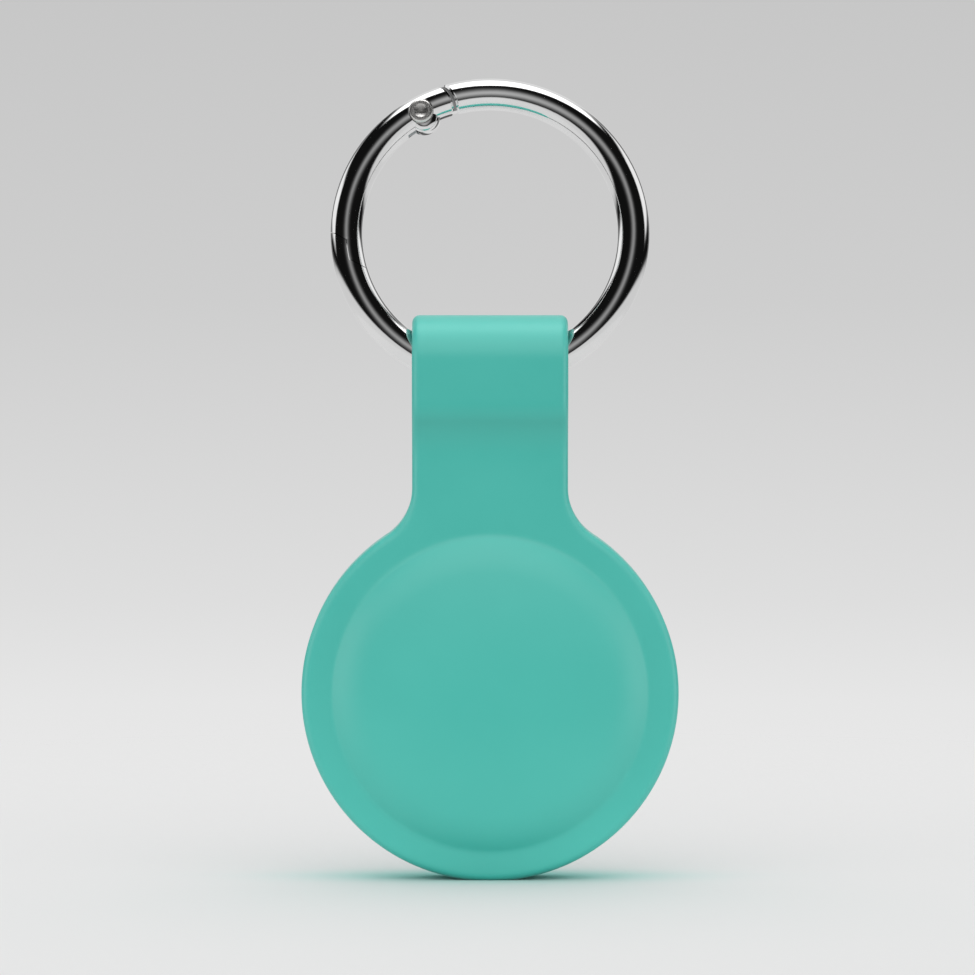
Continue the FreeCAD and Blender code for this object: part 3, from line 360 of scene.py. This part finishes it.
DISC_MIDDLE = (0.0, 0.0, DISC_HEIGHT * MM)
cover_steel = turned_steel(
    "cover_steel",
    centre=DISC_MIDDLE,
    first=(0.625, 0.625, 0.635, 1.0),
    second=(0.645, 0.645, 0.655, 1.0),
    rough=(0.10, 0.20),
    ring_pitch=0.00016,
    depth=0.0000012,
)
cell_steel = turned_steel(
    "cell_steel",
    centre=DISC_MIDDLE,
    first=(0.50, 0.50, 0.51, 1.0),
    second=(0.58, 0.58, 0.59, 1.0),
    rough=(0.22, 0.34),
    ring_pitch=0.00025,
    depth=0.0000015,
)
NODE_MATERIALS = {
    "ring_frame": chrome,
    "ring_gate": chrome,
    "hinge_rivet": rivet_steel,
    "spring_plunger": spring_steel,
    "tag_shell": shell_white,
    "battery_cover": cover_steel,
    "cell_tray": tray_black,
    "cell_contacts": contact_gold,
    "circuit_board": board_green,
    "board_chips": chip_black,
    "speaker_magnet": magnet_grey,
    "speaker_coil": coil_copper,
    "cover_seal": seal_black,
    "cell_can": cell_steel,
    "cell_gasket": gasket_pale,
    "cell_cap": cell_steel,
    "cell_core": filling_dark,
}
for node_name, node_material in NODE_MATERIALS.items():
    for slot in nodes[node_name].material_slots:
        slot.material = node_material

# Turned pieces come with a wrong normal at the middle of their round faces, so theirs are worked out again from the
# faces, with corners kept sharp.
SHARP_CORNER = math.radians(40.0)
JOIN_REACH = 0.000001
normals_tree = bpy.data.node_groups.new("even_normals", "GeometryNodeTree")
for way in ("INPUT", "OUTPUT"):
    normals_tree.interface.new_socket("Geometry", in_out=way, socket_type="NodeSocketGeometry")
mesh_in, mesh_out = add(normals_tree, "NodeGroupInput"), add(normals_tree, "NodeGroupOutput")
drop_normals = add(normals_tree, "GeometryNodeRemoveAttribute")
drop_normals.inputs["Name"].default_value = "custom_normal"
join_faces = add(normals_tree, "GeometryNodeMergeByDistance")
join_faces.inputs["Distance"].default_value = JOIN_REACH
edge_angle = add(normals_tree, "GeometryNodeInputMeshEdgeAngle")
shallow = add(normals_tree, "FunctionNodeCompare", operation="LESS_THAN")
shallow.inputs[1].default_value = SHARP_CORNER
smooth_edges = add(normals_tree, "GeometryNodeSetShadeSmooth", domain="EDGE")
join(normals_tree, mesh_in.outputs["Geometry"], drop_normals.inputs["Geometry"])
join(normals_tree, drop_normals.outputs["Geometry"], join_faces.inputs["Geometry"])
join(normals_tree, join_faces.outputs["Geometry"], smooth_edges.inputs["Geometry"])
join(normals_tree, edge_angle.outputs["Unsigned Angle"], shallow.inputs[0])
join(normals_tree, shallow.outputs["Result"], smooth_edges.inputs["Shade Smooth"])
join(normals_tree, smooth_edges.outputs["Geometry"], mesh_out.inputs["Geometry"])
for node_name in ("battery_cover", "tag_shell", "cover_seal", "hinge_rivet"):
    nodes[node_name].modifiers.new("even_normals", "NODES").node_group = normals_tree


# Silicone holder: one moulded skin around the signed distance below, which repeats the solid's arcs and lines and
# softens the creases as a mould does.
neck_out = STRAP_HALF + NECK_ROUND
neck_up = math.sqrt((DISC_RADIUS + NECK_ROUND) ** 2 - neck_out**2)
swell_turn = 2 * math.atan2(HALF_LOOP - HALF_FLANGE, LOOP_FLAT_LOW - PINCH_LOW)
bend_sum = (LOOP_FLAT_LOW - PINCH_LOW) / math.sin(swell_turn)
swell_round = bend_sum * SWELL_SHARE
pinch_round = bend_sum - swell_round
crown_height = LOOP_TOP - HALF_LOOP
cap_slope = math.asin(CAP_EDGE / CAP_RADIUS)
cap_end = (CAP_RADIUS * (1 - math.cos(cap_slope)) - DOME_FRONT, CAP_EDGE)
to_crease = (-HALF_FLANGE - cap_end[0], DOME_RADIUS - cap_end[1])
into_dome = (math.cos(cap_slope), -math.sin(cap_slope))
shoulder_round = (to_crease[0] ** 2 + to_crease[1] ** 2) / (
    2 * (to_crease[0] * into_dome[0] + to_crease[1] * into_dome[1])
)
shoulder_depth = cap_end[0] + shoulder_round * into_dome[0]
shoulder_out = cap_end[1] + shoulder_round * into_dome[1]
lip_rise = LIP_BACK - HALF_FLANGE
lip_round = (lip_rise**2 + (DOME_RADIUS - LIP_FLAT) ** 2) / (2 * lip_rise)
belly_out = TAG_RADIUS - BELLY_RADIUS
face_depth = TAG_HALF + BELLY_SHIFT
face_round = (belly_out**2 + face_depth**2 - BELLY_RADIUS**2) / (2 * (face_depth - BELLY_RADIUS))
face_middle = face_round - TAG_HALF
face_slope = belly_out / (face_middle - BELLY_SHIFT)

# The grid that finds the skin, in millimetres and in steps of it, and how its points are then evened out and put back.
GRID_STEP = 0.275
GRID_LOW = (-75.0, -24.5, -2.5)
GRID_HIGH = (75.0, 20.5, 220.5)
SLOPE_STEP = 0.01
EVEN_ROUNDS = 5
LAST_ROUNDS = 2
EVEN_SHARE = 0.5
LEAST_SLOPE = 0.5
LONGEST_MOVE = 0.2


def rounded_cut(first, second, radius):
    """The larger of two distances, with a rounded edge where they meet."""
    over_first, over_second = first + radius, second + radius
    outside = np.hypot(np.maximum(over_first, 0), np.maximum(over_second, 0))
    return np.minimum(np.maximum(over_first, over_second), 0) + outside - radius


def soft_join(first, second, width):
    """The smaller of two distances, with a soft fillet where they meet."""
    share = np.clip(0.5 + 0.5 * (second - first) / width, 0, 1)
    return second + (first - second) * share - width * share * (1 - share)


def holder_distance(points):
    """Distance from the holder's skin in millimetres, negative inside."""
    x, y, z = np.abs(points[:, 0]), points[:, 1], points[:, 2] - DISC_HEIGHT
    disc = np.hypot(x, z) - DISC_RADIUS
    neck = NECK_ROUND - np.hypot(x - neck_out, z - neck_up)
    outline = np.where(z >= neck_up, x - STRAP_HALF, np.where(x * neck_up > z * neck_out, disc, neck))

    deep = np.abs(y)
    pinch_middle, swell_middle = HALF_FLANGE + pinch_round, HALF_LOOP - swell_round
    pinch = pinch_round - np.hypot(deep - pinch_middle, z - PINCH_LOW)
    swell = np.hypot(deep - swell_middle, z - LOOP_FLAT_LOW) - swell_round
    below = (swell_middle - pinch_middle) * (z - PINCH_LOW) > (LOOP_FLAT_LOW - PINCH_LOW) * (deep - pinch_middle)
    crown = np.hypot(deep, z - crown_height) - HALF_LOOP
    side = np.where(below, pinch, swell)
    side = np.where(z < PINCH_LOW, deep - HALF_FLANGE, side)
    side = np.where(z >= LOOP_FLAT_LOW, deep - HALF_LOOP, side)
    side = np.where(z >= crown_height, crown, side)
    body = rounded_cut(outline, side, RIM_ROUND)

    out = np.hypot(x, z)
    cap = np.hypot(y + DOME_FRONT - CAP_RADIUS, out) - CAP_RADIUS
    shoulder = np.hypot(y - shoulder_depth, out - shoulder_out) - shoulder_round
    past_cap = out * math.cos(cap_slope) > (CAP_RADIUS - DOME_FRONT - y) * math.sin(cap_slope)
    lip = np.hypot(y - LIP_BACK + lip_round, out - LIP_FLAT) - lip_round
    back = np.where(out > LIP_FLAT, lip, y - LIP_BACK)
    raised = np.where(y < 0, np.where(past_cap, shoulder, cap), back)
    skin = soft_join(body, raised, CREASE_SOFT)

    face = np.hypot(y - face_middle, out) - face_round - TAG_GAP
    belly = np.hypot(y - BELLY_SHIFT, out - belly_out) - BELLY_RADIUS - TAG_GAP
    pocket = np.where(out > (face_middle - y) * face_slope, belly, face)
    pocket = np.maximum(pocket, y - LIP_INNER)
    window = np.maximum(out - WINDOW_RADIUS, BELLY_SHIFT - y)
    skin = rounded_cut(skin, -window, WINDOW_ROUND)
    skin = np.maximum(skin, -pocket)
    tunnel = np.hypot(y, z - LOOP_HOLE_HEIGHT) - LOOP_HOLE
    skin = rounded_cut(skin, -tunnel, LOOP_MOUTH_ROUND)
    return rounded_cut(skin, -points[:, 2], FOOT_ROUND)


def slope_of(distance, points, step):
    """The direction in which the distance grows fastest, and how fast."""
    parts = []
    for axis in range(3):
        shift = np.zeros(3)
        shift[axis] = step
        parts.append((distance(points + shift) - distance(points - shift)) / (2 * step))
    return np.stack(parts, axis=1)


def skin_mesh(distance, low, high, step):
    """Points and four-sided faces of the zero surface of a distance, one point to each grid cell that it crosses."""
    counts = [int(round((high[i] - low[i]) / step)) + 1 for i in range(3)]
    axes = [low[i] + step * np.arange(counts[i]) for i in range(3)]
    grid = np.empty(counts)
    for index, value in enumerate(axes[0]):
        b, c = np.meshgrid(axes[1], axes[2], indexing="ij")
        layer = np.stack([np.full(b.size, value), b.ravel(), c.ravel()], axis=1)
        grid[index] = distance(layer).reshape(b.shape)
    inside = grid < 0
    corners = [(i, j, k) for i in (0, 1) for j in (0, 1) for k in (0, 1)]

    def corner(values, offset):
        return values[tuple(slice(o, n - 1 + o) for o, n in zip(offset, counts))]

    filled = sum(corner(inside, offset).astype(int) for offset in corners)
    crossed = (filled > 0) & (filled < 8)
    number = np.full(crossed.shape, -1)
    number[crossed] = np.arange(crossed.sum())
    total = np.zeros((crossed.sum(), 3))
    found = np.zeros(crossed.sum())
    for axis in range(3):
        for offset in corners:
            if offset[axis]:
                continue
            far = tuple(o + (1 if i == axis else 0) for i, o in enumerate(offset))
            near_value, far_value = corner(grid, offset)[crossed], corner(grid, far)[crossed]
            changes = (near_value < 0) != (far_value < 0)
            share = np.where(changes, near_value / np.where(changes, near_value - far_value, 1), 0)
            spot = np.tile(np.array(offset, float), (len(share), 1))
            spot[:, axis] += share
            total[changes] += spot[changes]
            found[changes] += 1
    points = (np.argwhere(crossed) + total / found[:, None]) * step + np.array(low)
    faces = []
    for axis in range(3):
        first, second = (axis + 1) % 3, (axis + 2) % 3
        low_end = [slice(1, n - 1) for n in counts]
        low_end[axis] = slice(0, counts[axis] - 1)
        high_end = list(low_end)
        high_end[axis] = slice(1, counts[axis])
        near, far = inside[tuple(low_end)], inside[tuple(high_end)]
        for leaving, order in ((True, 1), (False, -1)):
            spots = np.argwhere((near & ~far) if leaving else (far & ~near))
            for other in (first, second):
                spots[:, other] += 1
            around = []
            for move_first, move_second in ((-1, -1), (0, -1), (0, 0), (-1, 0)):
                cell = spots.copy()
                cell[:, first] += move_first
                cell[:, second] += move_second
                around.append(number[tuple(cell.T)])
            faces.append(np.stack(around, axis=1)[:, ::order])
    return points, np.concatenate(faces)


def settle(distance, points, faces):
    """Evens the points out along the surface and puts them back on it."""
    edges = np.concatenate([faces[:, [i, (i + 1) % 4]] for i in range(4)])
    for turn in range(EVEN_ROUNDS + LAST_ROUNDS):
        if turn < EVEN_ROUNDS:
            total, count = np.zeros_like(points), np.zeros(len(points))
            np.add.at(total, edges[:, 0], points[edges[:, 1]])
            np.add.at(count, edges[:, 0], 1)
            points = (1 - EVEN_SHARE) * points + EVEN_SHARE * total / count[:, None]
        slope = slope_of(distance, points, SLOPE_STEP)
        size = np.maximum((slope**2).sum(axis=1), LEAST_SLOPE**2)
        points = points - np.clip(distance(points) / size, -LONGEST_MOVE, LONGEST_MOVE)[:, None] * slope
    return points


def mesh_object(name, points, faces, material, smooth=True):
    """A new object of points and faces in one material."""
    mesh = bpy.data.meshes.new(name)
    mesh.from_pydata(points, [], faces)
    mesh.materials.append(material)
    mesh.polygons.foreach_set("use_smooth", np.full(len(mesh.polygons), smooth))
    mesh.update()
    thing = bpy.data.objects.new(name, mesh)
    bpy.context.scene.collection.objects.link(thing)
    return thing


skin_low, skin_high = [tuple(GRID_STEP * steps for steps in corner) for corner in (GRID_LOW, GRID_HIGH)]
skin_points, skin_faces = skin_mesh(holder_distance, skin_low, skin_high, GRID_STEP)
skin_points = settle(holder_distance, skin_points, skin_faces)
holder = mesh_object("holder_skin", (skin_points * MM).tolist(), skin_faces.tolist(), silicone)
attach(holder, "holder")
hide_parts("silicone_holder")

# Gate spring: a round wire on a helix from the plunger to the end of the bore. The rivet's place is in metres, and
# sizes are in millimetres.
RIVET_AT = Vector((-0.0073864, 0.0070109, 0.0811649))
RING_OUTWARD = Vector((-0.492424, 0.225265, 0.840699))
BORE_ALONG = Vector((-0.870356, -0.127449, -0.475645))
BORE_DROP = 0.75
SPRING_ENDS = (3.75, 7.05)
SPRING_RADIUS = 0.36
SPRING_WIRE = 0.2
SPRING_TURNS = 5
SPRING_SIDES = 10
SPRING_STEPS = 28
bore_start = RIVET_AT - BORE_DROP * MM * RING_OUTWARD
bore_side = BORE_ALONG.cross(RING_OUTWARD).normalized()
spring_points, spring_faces = [], []
stations = SPRING_TURNS * SPRING_STEPS + 1
for station in range(stations):
    share = station / (stations - 1)
    angle = 2 * math.pi * SPRING_TURNS * share
    outward = math.cos(angle) * RING_OUTWARD + math.sin(angle) * bore_side
    along = SPRING_ENDS[0] + (SPRING_ENDS[1] - SPRING_ENDS[0]) * share
    centre = bore_start + (along * BORE_ALONG + SPRING_RADIUS * outward) * MM
    for corner in range(SPRING_SIDES):
        turn = 2 * math.pi * corner / SPRING_SIDES
        offset = math.cos(turn) * outward + math.sin(turn) * BORE_ALONG
        spring_points.append(tuple(centre + SPRING_WIRE / 2 * MM * offset))
for station in range(stations - 1):
    for corner in range(SPRING_SIDES):
        beside = (corner + 1) % SPRING_SIDES
        low, high = station * SPRING_SIDES, (station + 1) * SPRING_SIDES
        spring_faces.append((low + corner, high + corner, high + beside, low + beside))
spring_faces.append(tuple(range(SPRING_SIDES)))
spring_faces.append(tuple(range((stations - 1) * SPRING_SIDES, stations * SPRING_SIDES))[::-1])
spring = mesh_object("spring_wire", spring_points, spring_faces, spring_steel)
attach(spring, "gate")
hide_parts("gate_spring")
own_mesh(spring)

# Floor: a pale disc that fades into the background, with painted shade round the foot: a darker teal tint that stands
# in for the contact shadow and the light that the moulding throws onto the floor. A second disc just below it, hidden
# from the camera, gives the lamps' light back to the object, with painted shade under the foot. Reaches are in metres.
FLOOR_FADE = (0.05, 0.22)
FLOOR_SIDES = 96
FLOOR_SEEN = (0.88, 0.88, 0.88, 1.0)
# Painted shade: the visible floor turns a darker teal round the foot, standing in for the contact shadow and the
# moulding's bounced light.
PAINTED_FOOT_SHADE = (0.31, 0.76, 0.70, 1.0)
PAINTED_SHADE_SPREAD = (0.0155, 0.0048, 1.0)
PAINTED_SHADE_BACK = 0.0015
PAINTED_SHADE_POWER = 2.0
BOUNCE_DROP = 0.0001
FLOOR_BOUNCE = (0.90, 0.90, 0.90, 1.0)
FAR_BOUNCE = (0.55, 0.55, 0.55, 1.0)
FAR_REACH = (0.018, 0.055)
# Painted shade on the hidden disc: a dark teal patch under the foot, which dims the light given back to the lowest part
# of the moulding.
PAINTED_BOUNCE_SHADE = (0.05, 0.20, 0.18, 1.0)
BOUNCE_SHADE_SPREAD = (0.0145, 0.0062, 1.0)
BOUNCE_SHADE_POWER = 4.0


def foot_shade_share(tree, extent, power, back=0.0):
    """Where the floor's painted shade lies: 1 under the foot, falling to 0 around it. A higher power gives a flatter
    middle, and back moves it backwards.
    """
    moved = add(tree, "ShaderNodeVectorMath", operation="SUBTRACT")
    moved.inputs[1].default_value = (0.0, back, 0.0)
    join(tree, place(tree), moved.inputs[0])
    scaled = add(tree, "ShaderNodeVectorMath", operation="DIVIDE")
    scaled.inputs[1].default_value = extent
    join(tree, moved.outputs["Vector"], scaled.inputs[0])
    reach = add(tree, "ShaderNodeVectorMath", operation="LENGTH")
    join(tree, scaled.outputs["Vector"], reach.inputs[0])
    raised = add(tree, "ShaderNodeMath", operation="POWER")
    raised.inputs[1].default_value = power
    join(tree, reach.outputs["Value"], raised.inputs[0])
    fade = add(tree, "ShaderNodeMath", operation="POWER")
    fade.inputs[0].default_value = 1 / math.e
    join(tree, raised.outputs["Value"], fade.inputs[1])
    return fade.outputs["Value"]


def reach_share(tree, ends):
    """A soft step from 0 to 1 between two distances from the middle of the floor."""
    reach = add(tree, "ShaderNodeVectorMath", operation="LENGTH")
    join(tree, place(tree), reach.inputs[0])
    step = add(tree, "ShaderNodeMapRange", interpolation_type="SMOOTHSTEP")
    step.inputs["From Min"].default_value, step.inputs["From Max"].default_value = ends
    join(tree, reach.outputs["Value"], step.inputs["Value"])
    return step.outputs["Result"]


def floor_disc(name, height, colour_of):
    """A round sheet of matt paper that fades out far from the object."""
    turns = [2 * math.pi * side / FLOOR_SIDES for side in range(FLOOR_SIDES)]
    rim = [(FLOOR_FADE[1] * math.cos(turn), FLOOR_FADE[1] * math.sin(turn), height) for turn in turns]
    wedges = [(0, 1 + side, 1 + (side + 1) % FLOOR_SIDES) for side in range(FLOOR_SIDES)]
    material, tree = new_material(name + "_paper")
    paper = add(tree, "ShaderNodeBsdfDiffuse")
    join(tree, colour_of(tree), paper.inputs["Color"])
    clear = add(tree, "ShaderNodeBsdfTransparent")
    fading = add(tree, "ShaderNodeMixShader")
    join(tree, reach_share(tree, FLOOR_FADE), fading.inputs["Fac"])
    join(tree, paper.outputs["BSDF"], fading.inputs[1])
    join(tree, clear.outputs["BSDF"], fading.inputs[2])
    output = add(tree, "ShaderNodeOutputMaterial")
    join(tree, fading.outputs["Shader"], output.inputs["Surface"])
    disc = mesh_object(name, [(0.0, 0.0, height)] + rim, wedges, material, smooth=False)
    disc.visible_shadow = False
    return disc


def seen_colour(tree):
    """The floor's colour for the camera and in reflections, with painted teal shade round the foot."""
    return two_colours(tree, foot_shade_share(tree, PAINTED_SHADE_SPREAD, PAINTED_SHADE_POWER, PAINTED_SHADE_BACK), FLOOR_SEEN, PAINTED_FOOT_SHADE)


def bounce_colour(tree):
    """The floor's colour for the light that it gives back: painted shade, dark teal under the foot, and dimmer far
    away.
    """
    around_foot = two_colours(tree, reach_share(tree, FAR_REACH), FLOOR_BOUNCE, FAR_BOUNCE)
    return two_colours(tree, foot_shade_share(tree, BOUNCE_SHADE_SPREAD, BOUNCE_SHADE_POWER), around_foot, PAINTED_BOUNCE_SHADE)


floor = floor_disc("floor", 0.0, seen_colour)
floor.visible_diffuse = False
bounce = floor_disc("floor_bounce", -BOUNCE_DROP, bounce_colour)
bounce.visible_camera = bounce.visible_glossy = bounce.visible_transmission = bounce.visible_volume_scatter = False

# World: the pale seamless background for what is seen directly or in a reflection, even light for the rest. The
# background is given as the height of a direction and its tone, and the even light grows over a band of such heights.
AMBIENT_LOW, AMBIENT_HIGH = 0.35, 1.15
AMBIENT_BAND = (-0.2, 0.2)
BACKGROUND = [(-0.131, 227), (-0.1056, 232), (-0.0886, 230), (-0.0715, 222), (-0.0202, 206), (0.0311, 199)]
world = bpy.data.worlds.new("studio")
bpy.context.scene.world = world
world.use_nodes = True
world.cycles.sampling_method = "NONE"
sky = world.node_tree
sky.nodes.clear()
direction = add(sky, "ShaderNodeTexCoord")
height = add(sky, "ShaderNodeSeparateXYZ")
join(sky, direction.outputs["Generated"], height.inputs["Vector"])
ramp_place = add(sky, "ShaderNodeMapRange")
ramp_place.inputs["From Min"].default_value = BACKGROUND[0][0]
ramp_place.inputs["From Max"].default_value = BACKGROUND[-1][0]
join(sky, height.outputs["Z"], ramp_place.inputs["Value"])
ramp = add(sky, "ShaderNodeValToRGB")
span = BACKGROUND[-1][0] - BACKGROUND[0][0]
for index, (level, tone) in enumerate(BACKGROUND):
    spot = (level - BACKGROUND[0][0]) / span
    stops = ramp.color_ramp.elements
    if index in (0, len(BACKGROUND) - 1):
        stop = stops[0 if index == 0 else len(stops) - 1]
    else:
        stop = stops.new(spot)
    stop.position = spot
    stop.color = grey(tone)
join(sky, ramp_place.outputs["Result"], ramp.inputs["Fac"])
seen = add(sky, "ShaderNodeBackground")
join(sky, ramp.outputs["Color"], seen.inputs["Color"])
even = add(sky, "ShaderNodeBackground")
even_level = spread(sky, height.outputs["Z"], AMBIENT_LOW, AMBIENT_HIGH, *AMBIENT_BAND)
join(sky, even_level, even.inputs["Strength"])
path = add(sky, "ShaderNodeLightPath")
camera_or_glossy = add(sky, "ShaderNodeMath", operation="MAXIMUM")
join(sky, path.outputs["Is Camera Ray"], camera_or_glossy.inputs[0])
join(sky, path.outputs["Is Glossy Ray"], camera_or_glossy.inputs[1])
or_through = add(sky, "ShaderNodeMath", operation="MAXIMUM")
join(sky, camera_or_glossy.outputs["Value"], or_through.inputs[0])
join(sky, path.outputs["Is Transmission Ray"], or_through.inputs[1])
sky_mix = add(sky, "ShaderNodeMixShader")
join(sky, or_through.outputs["Value"], sky_mix.inputs["Fac"])
join(sky, even.outputs["Background"], sky_mix.inputs[1])
join(sky, seen.outputs["Background"], sky_mix.inputs[2])
sky_output = add(sky, "ShaderNodeOutputWorld")
join(sky, sky_mix.outputs["Shader"], sky_output.inputs["Surface"])

# Studio around the object, seen in reflections only: a dome with a soft box overhead and towards the back, a pale panel
# on each side, dark flags in front and a dim glow around the camera. Directions are degrees from the front and up, and
# places on the soft box are measured in its height above the object.
STUDIO_RADIUS = 1.6
STUDIO_STEP = 3.0
STUDIO_LOW, STUDIO_HIGH, STUDIO_TOP = -24.0, 88.0, 89.0
BOX_LEFT, BOX_RIGHT, BOX_FRONT = -0.60, 0.68, -0.35
BOX_SLANT = 0.62
BOX_SOFT = 0.10
BOX_SHADE = (0.1, 0.8)
BOX_LIGHT = 3.0
BOX_LEAST_UP = 1.0
WALL_LIGHT = 0.80
WALL_EDGE = (156.0, 166.0)
PANEL_LIGHT = 1.0
PANEL_EDGE = (88.0, 97.0)
PANEL_RIGHT, PANEL_LEFT = (11.0, 41.0), (6.5, 31.0)
PANEL_SOFT = 3.0
GAP_LIGHT = 0.20
GAP_EDGE = (132.0, 139.0)
GLOW_LIGHT = 0.48
GLOW_UP = 14.5
GLOW_ACROSS, GLOW_HIGH = 14.5, 20.0
FLAG_LIGHT = 0.006
FLOOR_LIGHT = 0.72
FLOOR_EDGE = (-4.0, 2.0)
FLOOR_UP, FLOOR_DIP = -4.0, 14.0
DIP_EDGE = (12.0, 34.0)


def ease(value, low, high):
    """A soft step from 0 at low to 1 at high."""
    share = min(max((value - low) / (high - low), 0.0), 1.0)
    return share * share * (3 - 2 * share)


def studio_light(around, up):
    """The light that comes from a direction: degrees from the front and degrees above the floor."""
    side = abs(around)
    light = FLAG_LIGHT + GLOW_LIGHT * math.exp(-((side / GLOW_ACROSS) ** 2) - ((up - GLOW_UP) / GLOW_HIGH) ** 2)
    low, high = PANEL_RIGHT if around > 0 else PANEL_LEFT
    under_top = 1 - ease(up, high - PANEL_SOFT, high + PANEL_SOFT)
    over_bottom = ease(up, low - PANEL_SOFT, low + PANEL_SOFT)
    light += (PANEL_LIGHT - light) * ease(side, *PANEL_EDGE) * under_top * over_bottom
    light += (GAP_LIGHT - light) * ease(side, *GAP_EDGE) * under_top
    light += (WALL_LIGHT - light) * ease(side, *WALL_EDGE)
    bottom = FLOOR_UP - FLOOR_DIP * (1 - ease(side, *DIP_EDGE))
    light += (FLOOR_LIGHT - light) * (1 - ease(up, bottom + FLOOR_EDGE[0], bottom + FLOOR_EDGE[1]))
    if up <= BOX_LEAST_UP:
        return light
    reach = 1 / math.tan(math.radians(up))
    right, back = reach * math.sin(math.radians(around)), -reach * math.cos(math.radians(around))
    front = back - BOX_FRONT - BOX_SLANT * abs(right)
    box = ease(right - BOX_LEFT, -BOX_SOFT, BOX_SOFT) * ease(BOX_RIGHT - right, -BOX_SOFT, BOX_SOFT)
    box *= ease(front, -BOX_SOFT, BOX_SOFT)
    shade = BOX_LIGHT + (WALL_LIGHT - BOX_LIGHT) * ease(back, *BOX_SHADE)
    return light + (shade - light) * box


dome_around = np.arange(-180.0, 180.0, STUDIO_STEP)
dome_up = np.append(np.arange(STUDIO_LOW, STUDIO_HIGH, STUDIO_STEP), STUDIO_TOP)
dome_points, dome_lights, dome_faces = [], [], []
for up in dome_up:
    for around in dome_around:
        turn, rise = math.radians(around), math.radians(up)
        towards = Vector((math.cos(rise) * math.sin(turn), -math.cos(rise) * math.cos(turn), math.sin(rise)))
        dome_points.append(tuple(RING_MIDDLE + STUDIO_RADIUS * towards))
        dome_lights.append(studio_light(around, up))
count = len(dome_around)
for level in range(len(dome_up) - 1):
    for place_at in range(count):
        beside = (place_at + 1) % count
        low, high = level * count, (level + 1) * count
        dome_faces.append((low + place_at, low + beside, high + beside, high + place_at))
dome_faces.append(tuple(range((len(dome_up) - 1) * count, len(dome_up) * count)))
dome_cloth, dome_tree = new_material("studio_cloth")
dome_level = add(dome_tree, "ShaderNodeAttribute", attribute_name="light")
dome_glow = add(dome_tree, "ShaderNodeEmission")
join(dome_tree, dome_level.outputs["Fac"], dome_glow.inputs["Strength"])
dome_output = add(dome_tree, "ShaderNodeOutputMaterial")
join(dome_tree, dome_glow.outputs["Emission"], dome_output.inputs["Surface"])
dome_cloth.cycles.emission_sampling = "NONE"
dome = mesh_object("studio_dome", dome_points, dome_faces, dome_cloth, smooth=False)
dome.data.attributes.new("light", "FLOAT", "POINT").data.foreach_set("value", dome_lights)
dome.visible_camera = dome.visible_diffuse = dome.visible_shadow = False
dome.visible_transmission = dome.visible_volume_scatter = False

# Lamps: soft lights overhead, high in front and on both sides, as name, place, width, length and power. They leave out
# the ring, which mirrors the dome, and the floor that is seen, which the world lights evenly.
LAMP_AIM = Vector((0.0, 0.0, 0.03))
LAMPS = [
    ("lamp_top", (0.0, -0.12, 0.65), 0.60, 0.45, 0.3),
    ("lamp_high", (0.0, -0.45, 0.50), 0.90, 0.60, 1.7),
    ("lamp_left", (-0.60, -0.29, 0.11), 0.40, 0.50, 0.95),
    ("lamp_right", (0.60, -0.29, 0.11), 0.40, 0.50, 0.95),
]
lamps_leave_out = bpy.data.collections.new("lamps_leave_out")
for piece in (nodes["ring_frame"], nodes["ring_gate"], nodes["hinge_rivet"], floor):
    lamps_leave_out.objects.link(piece)
for entry in lamps_leave_out.collection_objects:
    entry.light_linking.link_state = "EXCLUDE"
for lamp_name, lamp_at, lamp_width, lamp_length, lamp_power in LAMPS:
    lamp_data = bpy.data.lights.new(lamp_name, "AREA")
    lamp_data.shape = "RECTANGLE"
    lamp_data.size, lamp_data.size_y, lamp_data.energy = lamp_width, lamp_length, lamp_power
    lamp = bpy.data.objects.new(lamp_name, lamp_data)
    lamp.location = lamp_at
    lamp.rotation_mode = "QUATERNION"
    lamp.rotation_quaternion = (LAMP_AIM - Vector(lamp_at)).to_track_quat("-Z", "Y")
    lamp.visible_camera = False
    lamp.light_linking.receiver_collection = lamps_leave_out
    bpy.context.scene.collection.objects.link(lamp)

# Camera.
sight = Vector((0.0, math.cos(VIEW_ELEVATION), -math.sin(VIEW_ELEVATION)))
camera_data = bpy.data.cameras.new("camera")
camera_data.sensor_width = SENSOR
camera_data.lens = SENSOR * VIEW_DISTANCE / VIEW_WIDTH
camera_data.clip_start, camera_data.clip_end = VIEW_CLIP
camera = bpy.data.objects.new("camera", camera_data)
camera.location = VIEW_TARGET - sight * VIEW_DISTANCE
camera.rotation_mode = "QUATERNION"
camera.rotation_quaternion = sight.to_track_quat("-Z", "Y")
bpy.context.scene.collection.objects.link(camera)
bpy.context.scene.camera = camera
bpy.context.scene.view_settings.view_transform = "Standard"
